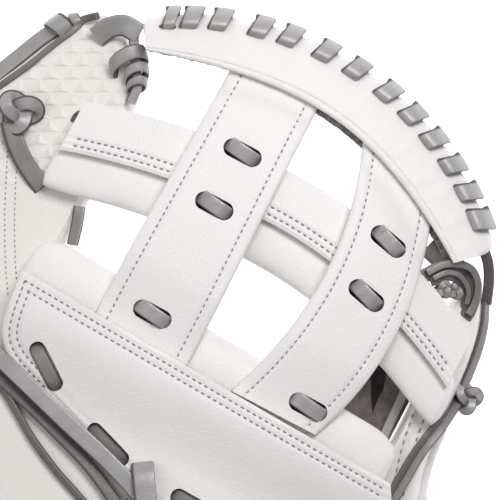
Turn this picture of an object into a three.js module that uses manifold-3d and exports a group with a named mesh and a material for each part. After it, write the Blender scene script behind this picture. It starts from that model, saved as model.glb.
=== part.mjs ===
// A softball catcher's mitt in white leather with a two-post web and grey laces.
// It lies face down, pocket to the floor, fingers up along +Y and its back towards +Z.
// Plan positions are in millimetres from the centre of the web's curved top binding.
import * as THREE from "three";
import { mergeVertices } from "three/addons/utils/BufferGeometryUtils.js";
import Module from "manifold-3d";

const wasm = await Module();
wasm.setup();

// Driving sizes
const gap = 0.3;
const leather = 2.5;
const laceWidth = 5.5;
const laceThick = 1.5;
const padThick = 12;
const binding = { outer: 104.2, inner: 84.5, flare: 8, from: 97.6, to: 15, front: 4.6, back: -5.6 };
const posts = { bottom: -8, top: 97, thick: 5, endThick: 2 };
const crown = { height: 66, a: -40, b: 14, fallToTip: 0.0015, fallToHeel: 0.001, fallAcross: 0.0014 };
const hump = { x: -39, y: -122, rise: 16, spread: 5000 };

// The web's own directions in plan: a runs along the posts to the binding, b across to the thumb.
const webTurn = THREE.MathUtils.degToRad(62.2);
const alongX = Math.cos(webTurn);
const alongY = Math.sin(webTurn);
const toPlan = (a, b) => ({ x: a * alongX + b * alongY, y: a * alongY - b * alongX });
const toWeb = (x, y) => ({ a: x * alongX + y * alongY, b: x * alongY - y * alongX });
const smooth = THREE.MathUtils.smoothstep;
const mix = THREE.MathUtils.lerp;

// Height of the domed back, which every layer of the web and the back leather follows.
function domeHeight(x, y) {
  const { a, b } = toWeb(x, y);
  const fall = a > crown.a ? crown.fallToTip : crown.fallToHeel;
  const away = (x - hump.x) ** 2 + (y - hump.y) ** 2;
  const bump = hump.rise * Math.exp(-away / hump.spread);
  return crown.height - fall * (a - crown.a) ** 2 - crown.fallAcross * (b - crown.b) ** 2 + bump;
}

// Top of the finger and thumb leather: it dips where the ends of the web's bars lie on it.
function backHeight(x, y) {
  const drop = mix(3, 10, smooth(toWeb(x, y).a, -38, -25));
  return domeHeight(x, y) - drop;
}

// Closed body from rings of points, all with the same count, with flat ends.
function loft(rings) {
  const n = rings[0].length;
  const positions = rings.flat().flatMap((p) => [p.x, p.y, p.z]);
  const faces = [];
  for (let i = 0; i + 1 < rings.length; i++) {
    for (let j = 0; j < n; j++) {
      const a = i * n + j;
      const b = i * n + ((j + 1) % n);
      faces.push(a, b, b + n, a, b + n, a + n);
    }
  }
  capFaces(rings[0]).forEach(([a, b, c]) => faces.push(a, c, b));
  const last = (rings.length - 1) * n;
  capFaces(rings.at(-1)).forEach(([a, b, c]) => faces.push(last + a, last + b, last + c));
  return facingOut(positions, faces);
}

// Triangles that close one ring, worked out in the plane that the ring lies in.
function capFaces(ring) {
  const centre = ring.reduce((sum, p) => sum.add(p), new THREE.Vector3()).divideScalar(ring.length);
  const normal = new THREE.Vector3();
  ring.forEach((p, i) => {
    const next = ring[(i + 1) % ring.length];
    normal.add(p.clone().sub(centre).cross(next.clone().sub(centre)));
  });
  normal.normalize();
  const side = ring[0].clone().sub(centre);
  side.addScaledVector(normal, -side.dot(normal)).normalize();
  const up = normal.clone().cross(side);
  const flat = ring.map((p) => {
    const q = p.clone().sub(centre);
    return new THREE.Vector2(q.dot(side), q.dot(up));
  });
  return THREE.ShapeUtils.triangulateShape(flat, []);
}

// Geometry from positions and faces, turned so that its faces point outwards.
function facingOut(positions, faces) {
  const p = (i) => new THREE.Vector3(...positions.slice(3 * i, 3 * i + 3));
  let volume = 0;
  for (let i = 0; i < faces.length; i += 3) {
    volume += p(faces[i]).dot(p(faces[i + 1]).cross(p(faces[i + 2])));
  }
  if (volume < 0) {
    for (let i = 0; i < faces.length; i += 3) {
      [faces[i], faces[i + 1]] = [faces[i + 1], faces[i]];
    }
  }
  const geometry = new THREE.BufferGeometry();
  geometry.setAttribute("position", new THREE.Float32BufferAttribute(positions, 3));
  geometry.setIndex(faces);
  return geometry;
}

// Closed sheet between an upper and a lower grid of points: grids[i][j] = { top, bottom }.
function sheet(grid) {
  const rows = grid.length;
  const cols = grid[0].length;
  const at = (i, j, side) => side * rows * cols + i * cols + j;
  const faces = [];
  const quad = (a, b, c, d) => faces.push(a, b, c, a, c, d);
  for (let i = 0; i + 1 < rows; i++) {
    for (let j = 0; j + 1 < cols; j++) {
      quad(at(i, j, 0), at(i + 1, j, 0), at(i + 1, j + 1, 0), at(i, j + 1, 0));
      quad(at(i, j, 1), at(i, j + 1, 1), at(i + 1, j + 1, 1), at(i + 1, j, 1));
    }
    quad(at(i + 1, 0, 0), at(i, 0, 0), at(i, 0, 1), at(i + 1, 0, 1));
    quad(at(i, cols - 1, 0), at(i + 1, cols - 1, 0), at(i + 1, cols - 1, 1), at(i, cols - 1, 1));
  }
  for (let j = 0; j + 1 < cols; j++) {
    quad(at(0, j, 0), at(0, j + 1, 0), at(0, j + 1, 1), at(0, j, 1));
    quad(at(rows - 1, j + 1, 0), at(rows - 1, j, 0), at(rows - 1, j, 1), at(rows - 1, j + 1, 1));
  }
  const positions = [];
  for (const side of ["top", "bottom"]) {
    grid.flat().forEach((cell) => positions.push(cell[side].x, cell[side].y, cell[side].z));
  }
  return facingOut(positions, faces);
}

// Boolean cut of one closed geometry by another.
function cutBy(geometry, tool) {
  const solid = toSolid(geometry).subtract(toSolid(tool));
  const mesh = solid.getMesh();
  const cut = new THREE.BufferGeometry();
  cut.setAttribute("position", new THREE.Float32BufferAttribute(mesh.vertProperties, mesh.numProp));
  cut.setIndex([...mesh.triVerts]);
  return cut;
}

function toSolid(geometry) {
  const bare = geometry.clone();
  bare.deleteAttribute("normal");
  bare.deleteAttribute("uv");
  const merged = mergeVertices(bare, 1e-4);
  return new wasm.Manifold(
    new wasm.Mesh({
      numProp: 3,
      vertProperties: new Float32Array(merged.attributes.position.array),
      triVerts: new Uint32Array(merged.index.array),
    }),
  );
}

// Flat lace swept through stations { x, y, z, lean }: lean tips its face over, in degrees.
function lace(stations, steps, width = laceWidth, thick = laceThick) {
  const path = new THREE.CatmullRomCurve3(stations.map((s) => new THREE.Vector3(s.x, s.y, s.z)));
  const lean = (t) => {
    const at = Math.min(t * (stations.length - 1), stations.length - 1.0001);
    const i = Math.floor(at);
    return THREE.MathUtils.degToRad(mix(stations[i].lean ?? 0, stations[i + 1].lean ?? 0, at - i));
  };
  const bevel = thick * 0.35;
  const section = [
    [-width / 2, 0],
    [-width / 2 + bevel, thick / 2],
    [width / 2 - bevel, thick / 2],
    [width / 2, 0],
    [width / 2 - bevel, -thick / 2],
    [-width / 2 + bevel, -thick / 2],
  ];
  const rings = [];
  for (let i = 0; i <= steps; i++) {
    const t = i / steps;
    const centre = path.getPoint(t);
    const ahead = path.getTangent(t);
    const side = new THREE.Vector3().crossVectors(ahead, new THREE.Vector3(0, 0, 1)).normalize();
    side.applyAxisAngle(ahead, lean(t));
    const up = new THREE.Vector3().crossVectors(side, ahead).normalize();
    rings.push(section.map(([s, h]) => centre.clone().addScaledVector(side, s).addScaledVector(up, h)));
  }
  return loft(rings);
}

// The outline of the padded body, from thumb tip round the heel to the index fingertip:
// x, y of the outer rim in plan, and a, b of the edge towards the web.
const sections = [
  { name: "thumb tip", x: 97.3, y: 14.6, a: 57, b: 71 },
  { name: "thumb end", x: 96.7, y: 0.3, a: 44, b: 72 },
  { name: "upper thumb", x: 91.3, y: -15.6, a: 28, b: 74 },
  { name: "mid thumb", x: 84.0, y: -30.5, a: 12, b: 75 },
  { name: "lower thumb", x: 79.2, y: -42.6, a: 0, b: 75 },
  { name: "thumb crotch", x: 76.5, y: -57, a: -13, b: 74 },
  { name: "thumb heel", x: 73.0, y: -84, a: -20, b: 66 },
  { name: "right heel", x: 59.5, y: -115.8, a: -20, b: 52 },
  { name: "wrist right", x: 37.2, y: -147.6, a: -20, b: 40 },
  { name: "heel right", x: 5.4, y: -174.6, a: -20, b: 28 },
  { name: "heel middle", x: -32.8, y: -188.9, a: -20, b: 16 },
  { name: "heel left", x: -74.1, y: -190.5, a: -20, b: 4 },
  { name: "wrist left", x: -112.3, y: -177.8, a: -20, b: -8 },
  { name: "left heel", x: -139.3, y: -153.9, a: -20, b: -20 },
  { name: "little finger", x: -153.6, y: -122.1, a: -20, b: -31 },
  { name: "outer finger", x: -157.7, y: -84.0, a: -20, b: -41 },
  { name: "mid finger", x: -150.4, y: -42.6, a: -16, b: -47.5 },
  { name: "upper finger", x: -134.5, y: -2.9, a: 2, b: -47.5 },
  { name: "long finger", x: -112.3, y: 33.7, a: 22, b: -47.5 },
  { name: "index finger", x: -86.8, y: 63.9, a: 42, b: -47.5 },
  { name: "index end", x: -58.2, y: 87.1, a: 60, b: -49 },
  { name: "index shoulder", x: -39.1, y: 101.1, a: 73, b: -56 },
  { name: "index tip", x: -28.0, y: 104.8, a: 80, b: -66 },
];
const sectionIndex = Object.fromEntries(sections.map((s, i) => [s.name, i]));
const rim = new THREE.CatmullRomCurve3(sections.map((s) => new THREE.Vector3(s.x, s.y, 0)));
const webSide = new THREE.CatmullRomCurve3(
  sections.map((s) => {
    const p = toPlan(s.a, s.b);
    return new THREE.Vector3(p.x, p.y, 0);
  }),
);
const bodySteps = 30;

// One line across the body: plan points from the rim to the web's side, with what shapes them.
// The first four round the rim, the fifth ends the flat that rests on the floor.
function across(place) {
  const u = place / (sections.length - 1);
  const from = rim.getPoint(u);
  const to = webSide.getPoint(u);
  const width = from.distanceTo(to);
  const round = Math.min(13, 0.3 * width);
  const rest = Math.min(7, 0.25 * width);
  const inner = Math.min(4, 0.15 * width);
  const start = round + rest;
  const rise = [0, 0.134, 0.5, 1];
  const distances = rise.map((k) => k * round);
  distances.push(start);
  for (const part of [0.2, 0.42, 0.63, 0.82]) {
    distances.push(start + part * (width - inner - start));
  }
  rise.reverse().forEach((k) => distances.push(width - k * inner));
  return distances.map((d, index) => {
    const point = from.clone().lerp(to, d / width);
    return { x: point.x, y: point.y, d, width, round, rest, inner, index };
  });
}
const acrossCount = 13;
const wristFloor = 24;
const handRoom = 22;

// How far a line lies under the wrist opening: 1 in the middle of the heel, 0 beyond it.
function underWrist(place) {
  const right = sectionIndex["wrist right"];
  const left = sectionIndex["wrist left"];
  return smooth(place, right, right + 1.2) * (1 - smooth(place, left - 0.8, left + 0.4));
}

// Palm pad heights: the rim is a padded roll, and the pocket rises from it towards the web.
function palm(point, place) {
  const skin = backHeight(point.x, point.y) - leather - gap - 0.3;
  const inside = point.width - point.d;
  const pocket = smooth(point.d, point.round + point.rest, point.round + point.rest + 0.7 * point.width);
  const open =
    smooth(point.d, point.round + 2, point.round + 16) *
    smooth(inside, point.inner + 2, point.inner + 16) *
    smooth(point.width, 40, 66);
  const under = (skin - padThick - 2 - handRoom * open) * pocket;
  const wrist = underWrist(place);
  const edgeTop = mix(skin, wristFloor, wrist * (1 - smooth(point.d, 30, 80)));
  const top = mix(edgeTop, Math.min(skin, under + padThick), open);
  const middle = 0.45 * edgeTop;
  const bulge = (reach, size) => Math.sqrt(1 - (1 - Math.min(1, reach / size)) ** 2);
  const outer = bulge(point.d, point.round);
  const near = bulge(inside, point.inner);
  const innerMiddle = (top + under) / 2;
  return {
    top: Math.min(mix(middle, top, outer), mix(innerMiddle, top, near)),
    bottom: Math.max(middle * (1 - outer), mix(innerMiddle, under, near)),
    skin,
  };
}

const lanes = [];
for (let i = 0; i <= bodySteps; i++) {
  lanes.push((i * (sections.length - 1)) / bodySteps);
}

function palmPad() {
  const grid = lanes.map((place) =>
    across(place).map((point) => {
      const { top, bottom } = palm(point, place);
      const flat = point.index === 3 || point.index === 4 ? 0 : bottom;
      const spread = point.index === 0 || point.index === acrossCount - 1 ? 0.4 : 0;
      return {
        top: new THREE.Vector3(point.x, point.y, top + spread),
        bottom: new THREE.Vector3(point.x, point.y, flat - spread),
      };
    }),
  );
  return sheet(grid);
}

// Back leather over the palm pad's rim. startAt gives how far in from the rim it begins.
function backShell(places, startAt) {
  const grid = places.map((place) => {
    const line = across(place).slice(2, acrossCount - 2);
    const first = line[0].d;
    const last = line.at(-1).d;
    const begin = Math.max(first, startAt(place));
    const from = rim.getPoint(place / (sections.length - 1));
    const to = webSide.getPoint(place / (sections.length - 1));
    return line.map((point) => {
      const moved = begin > first ? begin + ((point.d - first) * (last - begin)) / (last - first) : point.d;
      const spot = from.clone().lerp(to, moved / point.width);
      const here = { ...point, x: spot.x, y: spot.y, d: moved };
      const over = begin > first ? null : palm(here, place);
      const skin = backHeight(spot.x, spot.y) - leather;
      const dip = over ? Math.max(0, over.skin - over.top) * rimShare(here) : 0;
      return {
        top: new THREE.Vector3(spot.x, spot.y, skin + leather - dip),
        bottom: new THREE.Vector3(spot.x, spot.y, skin - dip),
      };
    });
  });
  return sheet(grid);
}

// The back leather follows the pad's rounding only at its rim and at its inner edge.
function rimShare(point) {
  return point.d < point.round + 0.1 || point.width - point.d < point.inner + 0.1 ? 1 : 0;
}

const wristRight = sectionIndex["wrist right"];
const wristLeft = sectionIndex["wrist left"];
const thumbPlaces = lanes.filter((place) => place <= wristRight + 1.5);
const fingerPlaces = lanes.filter((place) => place >= wristLeft - 1.4 && place < sections.length - 1);
const thumbStart = (place) => 125 * smooth(place, wristRight - 0.2, wristRight + 1.6);
const fingerStart = (place) => 125 * (1 - smooth(place, wristLeft - 1.6, wristLeft + 0.3));

// Strip laid over the back: a grid from a centre line, a width and heights above the dome.
function strip(path, steps, width, heightAt, thick) {
  const curve = new THREE.CatmullRomCurve3(path.map((p) => new THREE.Vector3(p.x, p.y, 0)));
  const grid = [];
  for (let i = 0; i <= steps; i++) {
    const t = i / steps;
    const centre = curve.getPoint(t);
    const ahead = curve.getTangent(t);
    const row = [-1, -0.9, 0, 0.9, 1].map((k) => {
      const x = centre.x - ahead.y * k * 0.5 * width;
      const y = centre.y + ahead.x * k * 0.5 * width;
      const z = heightAt(x, y, t);
      const round = Math.abs(k) === 1 ? thick * 0.3 : 0;
      return {
        top: new THREE.Vector3(x, y, z + thick - round),
        bottom: new THREE.Vector3(x, y, z + round),
      };
    });
    grid.push(row);
  }
  return sheet(grid);
}

// The strap that closes the back over the wrist.
const strapPath = [
  { x: -101, y: -136 },
  { x: -72, y: -150 },
  { x: -38, y: -156 },
  { x: -2, y: -148 },
  { x: 30, y: -124 },
];
function wristStrap() {
  return strip(strapPath, 12, 26, (x, y) => backHeight(x, y) + gap, 3);
}

// A web bar lofted along b: profile(b) gives its ring of { a, h } above the dome.
function bar(fromB, toB, steps, profile) {
  const rings = [];
  for (let i = 0; i <= steps; i++) {
    const b = mix(fromB, toB, i / steps);
    rings.push(
      profile(b, i / steps).map(({ a, h }) => {
        const { x, y } = toPlan(a, b);
        return new THREE.Vector3(x, y, domeHeight(x, y) + h);
      }),
    );
  }
  return loft(rings);
}

// Padded roll section with round sides and a flattened face.
function rollProfile(low, high, under, over) {
  const ring = [];
  for (let i = 0; i < 12; i++) {
    const turn = (i / 12) * 2 * Math.PI;
    const boxy = (v) => Math.sign(v) * Math.abs(v) ** 0.75;
    ring.push({
      a: mix(low, high, 0.5 + 0.5 * boxy(Math.cos(turn))),
      h: mix(under, over, 0.5 + 0.5 * boxy(Math.sin(turn))),
    });
  }
  return ring;
}

// Curves of the crossbar: it bows towards the fingertips between the posts.
const bow = (b) => (b < 7 ? 0.00217 : 0.00354) * (b - 7) ** 2;
const crossbar = { flapTop: 62.2, fold: 44.7, rollLow: 30.7, from: -64, to: 85 };
const flapTopAt = (b) => crossbar.flapTop - bow(b);
const onBody = (b) => Math.max(1 - smooth(b, -45, -36), smooth(b, 58, 66));

function crossbarRoll() {
  return bar(crossbar.from, crossbar.to, 20, (b, t) => {
    const end = 1 - 0.35 * (1 - Math.sin(Math.PI * Math.min(0.5, 6 * Math.min(t, 1 - t))));
    const low = crossbar.rollLow - bow(b);
    const high = crossbar.fold + 5 - bow(b);
    const middle = (low + high) / 2;
    const half = ((high - low) / 2) * end;
    const under = mix(-12.5, -9.6, onBody(b));
    return rollProfile(middle - half, middle + half, under, -3.1);
  });
}

function crossbarFlap() {
  const grid = [];
  const steps = 20;
  for (let i = 0; i <= steps; i++) {
    const b = mix(crossbar.from + 1, crossbar.to - 3, i / steps);
    const top = flapTopAt(b);
    const low = crossbar.fold - bow(b);
    grid.push(
      [0, 0.06, 0.5, 0.94, 1].map((k, j) => {
        const { x, y } = toPlan(mix(low, top, k), b);
        const z = domeHeight(x, y) - gap;
        const edge = j === 0 || j === 4 ? 0.6 : 0;
        return {
          top: new THREE.Vector3(x, y, z - edge),
          bottom: new THREE.Vector3(x, y, z - leather + edge),
        };
      }),
    );
  }
  return sheet(grid);
}

const baseRollLow = -18.3;
function baseRoll() {
  return bar(-55, 78, 16, (b, t) => {
    const end = 1 - 0.3 * (1 - Math.sin(Math.PI * Math.min(0.5, 6 * Math.min(t, 1 - t))));
    const high = 6.6 - 0.05 * (b + 10);
    const middle = (high + baseRollLow) / 2;
    const half = ((high - baseRollLow) / 2) * end;
    const under = mix(-12, -9.6, onBody(b));
    return rollProfile(middle - half, middle + half, under, -0.3);
  });
}

// Posts: wide straps laid over the bars, thin where the panel and the binding cover their ends.
const postShapes = {
  post_left: {
    centre: () => -11.2,
    half: (a) => mix(16.8, 15.4, smooth(a, 0, 90)),
    slots: [
      { a: 60.4, b: -10.5, turn: 0 },
      { a: 41.2, b: -10.5, turn: 0 },
      { a: 1.75, b: -11.8, turn: 0 },
    ],
  },
  post_right: {
    centre: (a) => 45.1 - 0.00457 * (a - 35) ** 2,
    half: (a) => mix(15.2, 13.2, smooth(a, 0, 90)),
    slots: [
      { a: 57.0, b: 43.8, turn: -12 },
      { a: 38.5, b: 45.5, turn: -12 },
      { a: -1.3, b: 45.5, turn: 0 },
    ],
  },
};
const slot = { long: 13, wide: 6.6 };

function postHeight(a, reach) {
  const shared = smooth(a, -1, 6) * (1 - smooth(reach, 73, 81));
  return mix(posts.endThick, posts.thick, shared);
}

function post(shape) {
  const grid = [];
  const steps = 14;
  for (let i = 0; i <= steps; i++) {
    const row = [-1, -0.96, -0.86, -0.3, 0.3, 0.86, 0.96, 1].map((k) => {
      const guess = shape.centre(90) + k * shape.half(90);
      const top = Math.sqrt(posts.top ** 2 - guess ** 2);
      const a = mix(posts.bottom, top, i / steps);
      const { x, y } = toPlan(a, shape.centre(a) + k * shape.half(a));
      const thick = postHeight(a, Math.hypot(x, y));
      const edge = { 1: 0.45, 0.96: 0.16 }[Math.abs(k)] ?? 0;
      const z = domeHeight(x, y);
      return {
        top: new THREE.Vector3(x, y, z + thick * (1 - edge)),
        bottom: new THREE.Vector3(x, y, z),
      };
    });
    grid.push(row);
  }
  return shape.slots.reduce((solid, s) => {
    const { x, y, heading } = postSlot(s);
    return cutBy(solid, ovalTool(x, y, domeHeight(x, y), heading, slot.long, slot.wide));
  }, sheet(grid));
}

// Upright oval, tall enough to cut through any leather at that height, for one lace slot.
const toolDepth = 40;
function ovalTool(x, y, z, heading, long, wide) {
  const half = (long - wide) / 2;
  const outline = new THREE.Shape();
  outline.absarc(half, 0, wide / 2, -Math.PI / 2, Math.PI / 2);
  outline.absarc(-half, 0, wide / 2, Math.PI / 2, (3 * Math.PI) / 2);
  const tool = new THREE.ExtrudeGeometry(outline, { depth: toolDepth, bevelEnabled: false, curveSegments: 5 });
  tool.rotateZ(heading);
  tool.translate(x, y, z - toolDepth / 2);
  return tool;
}

// Short lace that lies in a slot, its two ends dipping under the leather.
function laceInSlot(x, y, heading, reach, width, heightAt) {
  const stations = [-1, -0.6, 0, 0.6, 1].map((k) => {
    const px = x + k * reach * Math.cos(heading);
    const py = y + k * reach * Math.sin(heading);
    return { x: px, y: py, z: heightAt(px, py, Math.abs(k)) };
  });
  return lace(stations, 6, width, laceThick);
}

// A post's slot in plan: where it is and which way its long side runs.
function postSlot({ a, b, turn }) {
  const { x, y } = toPlan(a, b);
  return { x, y, heading: webTurn - Math.PI / 2 + THREE.MathUtils.degToRad(turn) };
}

function postLace(s) {
  const { x, y, heading } = postSlot(s);
  const heightAt = (px, py, k) => domeHeight(px, py) + mix(3.6, 0.9, k ** 2.5);
  return laceInSlot(x, y, heading, slot.long / 2 - 1.5, slot.wide - 1.6, heightAt);
}

// The fan-shaped panel at the web's foot: its left and right sides in plan, from top to crotch.
const panelLeft = [
  { x: -51.5, y: 21.3 },
  { x: -57.0, y: -2.0 },
  { x: -40.5, y: -22.5 },
  { x: -23.5, y: -39.8 },
  { x: -6.0, y: -62.0 },
  { x: 13.4, y: -92.0 },
];
const panelRight = [
  { x: 65.8, y: -46.8 },
  { x: 66.0, y: -57.0 },
  { x: 63.0, y: -68.0 },
  { x: 56.5, y: -79.0 },
  { x: 46.0, y: -89.0 },
  { x: 31.0, y: -97.0 },
];
const panelSlots = [
  { x: -43.2, y: -9.5, turn: 117, long: 17, wide: 5.6 },
  { x: -23.5, y: -34.0, turn: 134, long: 17, wide: 5.0 },
  { x: 3.0, y: -53.0, turn: 150, long: 15, wide: 5.6 },
];
const panelThick = 3;

function panelHeight(x, y) {
  const { a } = toWeb(x, y);
  return domeHeight(x, y) + mix(-3 + gap, posts.endThick + gap, smooth(a, -26, -15));
}

function webPanel() {
  const side = (points) => new THREE.CatmullRomCurve3(points.map((p) => new THREE.Vector3(p.x, p.y, 0)));
  const left = side(panelLeft);
  const right = side(panelRight);
  const grid = [];
  for (let i = 0; i <= 10; i++) {
    const row = [0, 0.02, 0.15, 0.3, 0.45, 0.6, 0.75, 0.88, 0.98, 1].map((k, j) => {
      const p = left.getPoint(i / 10).lerp(right.getPoint(i / 10), k);
      const edge = j === 0 || j === 9 ? 0.8 : 0;
      const z = panelHeight(p.x, p.y);
      return {
        top: new THREE.Vector3(p.x, p.y, z + panelThick - edge),
        bottom: new THREE.Vector3(p.x, p.y, z),
      };
    });
    grid.push(row);
  }
  return panelSlots.reduce((solid, s) => {
    const heading = THREE.MathUtils.degToRad(s.turn);
    return cutBy(solid, ovalTool(s.x, s.y, panelHeight(s.x, s.y), heading, s.long, s.wide));
  }, sheet(grid));
}

function panelLace(s) {
  const heightAt = (x, y, k) => panelHeight(x, y) + mix(2.2, 1.2, k * k);
  return laceInSlot(s.x, s.y, THREE.MathUtils.degToRad(s.turn), s.long / 2 - 1.4, s.wide - 1.2, heightAt);
}

// Curved binding folded over the web's top edge, and the strip of web leather inside it.
const bindingInner = (angle) => binding.inner + binding.flare * Math.abs((angle - 53) / 45) ** 3;

function ringPoint(angle, r, h) {
  const turn = THREE.MathUtils.degToRad(angle);
  const x = r * Math.cos(turn);
  const y = r * Math.sin(turn);
  return new THREE.Vector3(x, y, domeHeight(x, y) + h);
}

function topBand() {
  const rings = [];
  const steps = 28;
  for (let i = 0; i <= steps; i++) {
    const angle = mix(binding.from, binding.to, i / steps);
    const inner = bindingInner(angle);
    const fold = [
      [inner, 2.5],
      [inner, 3.9],
      [inner + 1.2, binding.front],
      [98, binding.front],
      [102.6, 3],
      [binding.outer, -0.4],
      [102.6, -4],
      [98, binding.back],
      [inner + 2, binding.back],
      [inner + 2, -3.7],
      [98.5, -3.7],
      [101.4, -1.5],
      [101.4, 0.8],
      [98.5, 2.5],
    ];
    rings.push(fold.map(([r, h]) => ringPoint(angle, r, h)));
  }
  return loft(rings);
}

function bandCore() {
  const rings = [];
  const steps = 24;
  for (let i = 0; i <= steps; i++) {
    const angle = mix(binding.from - 0.6, binding.to + 0.6, i / steps);
    const inner = bindingInner(angle) + 0.8;
    const section = [
      [inner, -3.3],
      [inner, -0.4],
      [98, -0.4],
      [98, -3.3],
    ];
    rings.push(section.map(([r, h]) => ringPoint(angle, r, h)));
  }
  return loft(rings);
}

// Laces whipped over the binding: angle of each, in degrees, from the finger side round.
const wrapAngles = [93.2, 87.2, 81.6, 75.7, 69.8, 63.6, 57.2, 50.8, 44.4, 38.2, 32.4, 27.0, 22.0];
const wrapSlant = 0.36;

function wrapLace(angle) {
  const half = laceWidth / 2;
  const route = [
    { r: 97.2, h: 5.1 },
    { r: 99.4, h: 5.2 },
    { r: 103.6, h: 3.6 },
    { r: 105, h: -0.4 },
    { r: 103.6, h: -4.6 },
    { r: 98, h: -6.0 },
  ];
  const outwards = [
    [0, 1],
    [0.15, 1],
    [0.8, 0.7],
    [1, 0],
    [0.8, -0.7],
    [0, -1],
  ];
  const rings = route.map(({ r, h }, i) => {
    const slip = wrapSlant * (binding.outer - r) * (h > 0 ? 1 : -0.4);
    const [dr, dh] = outwards[i];
    const corner = (side, out) => {
      const turn = angle + THREE.MathUtils.radToDeg((side + slip) / r);
      return ringPoint(turn, r + dr * out * laceThick, h + dh * out * laceThick);
    };
    return [
      corner(-half, 0),
      corner(half, 0),
      corner(half, 0.7),
      corner(half - 0.7, 1),
      corner(-half + 0.7, 1),
      corner(-half, 0.7),
    ];
  });
  return loft(rings);
}

// A spot on the outer flank of the padded rim: turn is the angle up from its widest line.
function flankSpot(place, turn, out) {
  const line = across(place);
  const inward = new THREE.Vector2(line[3].x - line[0].x, line[3].y - line[0].y).normalize();
  const { top } = palm(line[3], place);
  const level = 0.45 * top;
  const angle = THREE.MathUtils.degToRad(turn);
  const back = line[3].round * (1 - Math.cos(angle)) - out * Math.cos(angle);
  return {
    x: line[0].x + inward.x * back,
    y: line[0].y + inward.y * back,
    z: level + (top - level) * Math.sin(angle) + out * Math.sin(angle),
    lean: turn - 90,
  };
}

// Lace that runs along the flank through spots { place, turn }.
const onFlank = laceThick / 2 + gap + 0.3;
function flankLace(spots, steps, width = laceWidth) {
  const stations = spots.map(({ place, turn, out }) => flankSpot(place, turn, out ?? onFlank));
  return lace(stations, steps, width, laceThick);
}

function rimLace(fromPlace, toPlace, count) {
  const spots = [];
  for (let i = 0; i <= count; i++) {
    spots.push({ place: mix(fromPlace, toPlace, i / count), turn: 8 });
  }
  return flankLace(spots, count * 2);
}

// A tied lace end: a small rounded lump.
function knot(x, y, z, length, width, height, turn) {
  const lump = new THREE.SphereGeometry(0.5, 9, 6);
  lump.scale(length, width, height);
  lump.rotateZ(THREE.MathUtils.degToRad(turn));
  lump.translate(x, y, z);
  return lump;
}

// Laces that lie on the leather: x, y and h above the back leather, lean in degrees.
const looseLaces = {
  finger_tip_loop: {
    route: [
      { x: -27.0, y: 98.5, h: 2.2, lean: 20 },
      { x: -22.5, y: 102.0, h: 4.0, lean: 25 },
      { x: -17.5, y: 101.5, h: 5.0, lean: 20 },
      { x: -16.0, y: 99.0, h: 6.0, lean: 10 },
    ],
    steps: 6,
  },
  finger_web_lace: {
    route: [
      { x: -15.2, y: 95.8, h: 3.2 },
      { x: -15.6, y: 90.0, h: 3.6 },
      { x: -14.6, y: 84.0, h: 3.2 },
      { x: -13.6, y: 78.0, h: 1.4 },
    ],
    steps: 8,
    width: 4.6,
    thick: 3.6,
  },
  finger_knot_tail: {
    route: [
      { x: -56.0, y: 64.4, h: 2.0 },
      { x: -54.2, y: 60.5, h: 1.6 },
      { x: -50.8, y: 54.5, h: 1.4 },
      { x: -46.6, y: 47.4, h: 1.4 },
    ],
    steps: 6,
  },
  crossbar_lace: {
    route: [
      { x: -33.4, y: 41.2, h: 1.1 },
      { x: -34.2, y: 35.5, h: 1.2, lean: 15 },
      { x: -35.6, y: 29.0, h: 1.0, lean: 30 },
    ],
    steps: 5,
    width: 4,
  },
  panel_lace_light: {
    route: [
      { x: -61.5, y: -4.4, h: 1.7 },
      { x: -55.0, y: -9.8, h: 5.8 },
      { x: -38.0, y: -25.7, h: 5.6 },
      { x: -22.0, y: -40.6, h: 5.6 },
      { x: -13.0, y: -51.0, h: 5.6 },
      { x: -10.5, y: -58.0, h: 5.6 },
    ],
    steps: 10,
  },
  panel_lace_dark: {
    route: [
      { x: -61.0, y: -12.5, h: 1.4, lean: -20 },
      { x: -52.5, y: -19.6, h: 1.6, lean: -30 },
      { x: -38.5, y: -33.2, h: 1.6, lean: -30 },
      { x: -28.5, y: -43.5, h: 1.6, lean: -25 },
      { x: -20.0, y: -57.0, h: 1.6, lean: -10 },
    ],
    steps: 10,
    width: 4,
  },
};

function looseLace({ route, steps, width, thick }) {
  const stations = route.map(({ x, y, h, lean }) => ({ x, y, z: backHeight(x, y) + h, lean }));
  return lace(stations, steps, width, thick);
}

// The lace that arches over the thumb tip, from the crossbar's flap to the thumb's back leather.
const thumbArch = [
  { x: 78.6, y: 15.6, over: domeHeight, h: 1.6 },
  { x: 83.6, y: 20.6, over: domeHeight, h: 2.2 },
  { x: 91.0, y: 21.0, over: backHeight, h: 6.5 },
  { x: 95.2, y: 14.0, over: backHeight, h: 4.0 },
  { x: 91.0, y: 6.5, over: backHeight, h: 1.9 },
].map(({ x, y, over, h }) => ({ x, y, z: over(x, y) + h }));

// Lace on the thumb's flank.
const thumbLaces = {
  thumb_lace_upper: {
    spots: [
      { place: 0.8, turn: 42, out: 1.6 },
      { place: 1.25, turn: 42 },
      { place: 1.75, turn: 40 },
    ],
    steps: 5,
    width: 4,
  },
};

// Lace down the middle of the thumb's back: share is how far in from the rim it lies, and lift
// raises it over the roll's end.
const thumbBackLace = [
  { place: 3.1, share: 0.22, lift: 0.7 },
  { place: 3.45, share: 0.3, lift: 0.5 },
  { place: 3.85, share: 0.38, lift: 0.2 },
  { place: 4.3, share: 0.46, lift: 0 },
  { place: 5.0, share: 0.55, lift: 0 },
  { place: 5.5, share: 0.58, lift: 0 },
];
const onBack = leather + 3 * gap + laceThick / 2 + 0.7;

function backSpot({ place, share, lift }) {
  const line = across(place);
  const [from, to] = [line[0], line.at(-1)];
  const point = { ...from, x: mix(from.x, to.x, share), y: mix(from.y, to.y, share), d: share * from.width };
  return { x: point.x, y: point.y, z: palm(point, place).top + onBack + lift };
}

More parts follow.
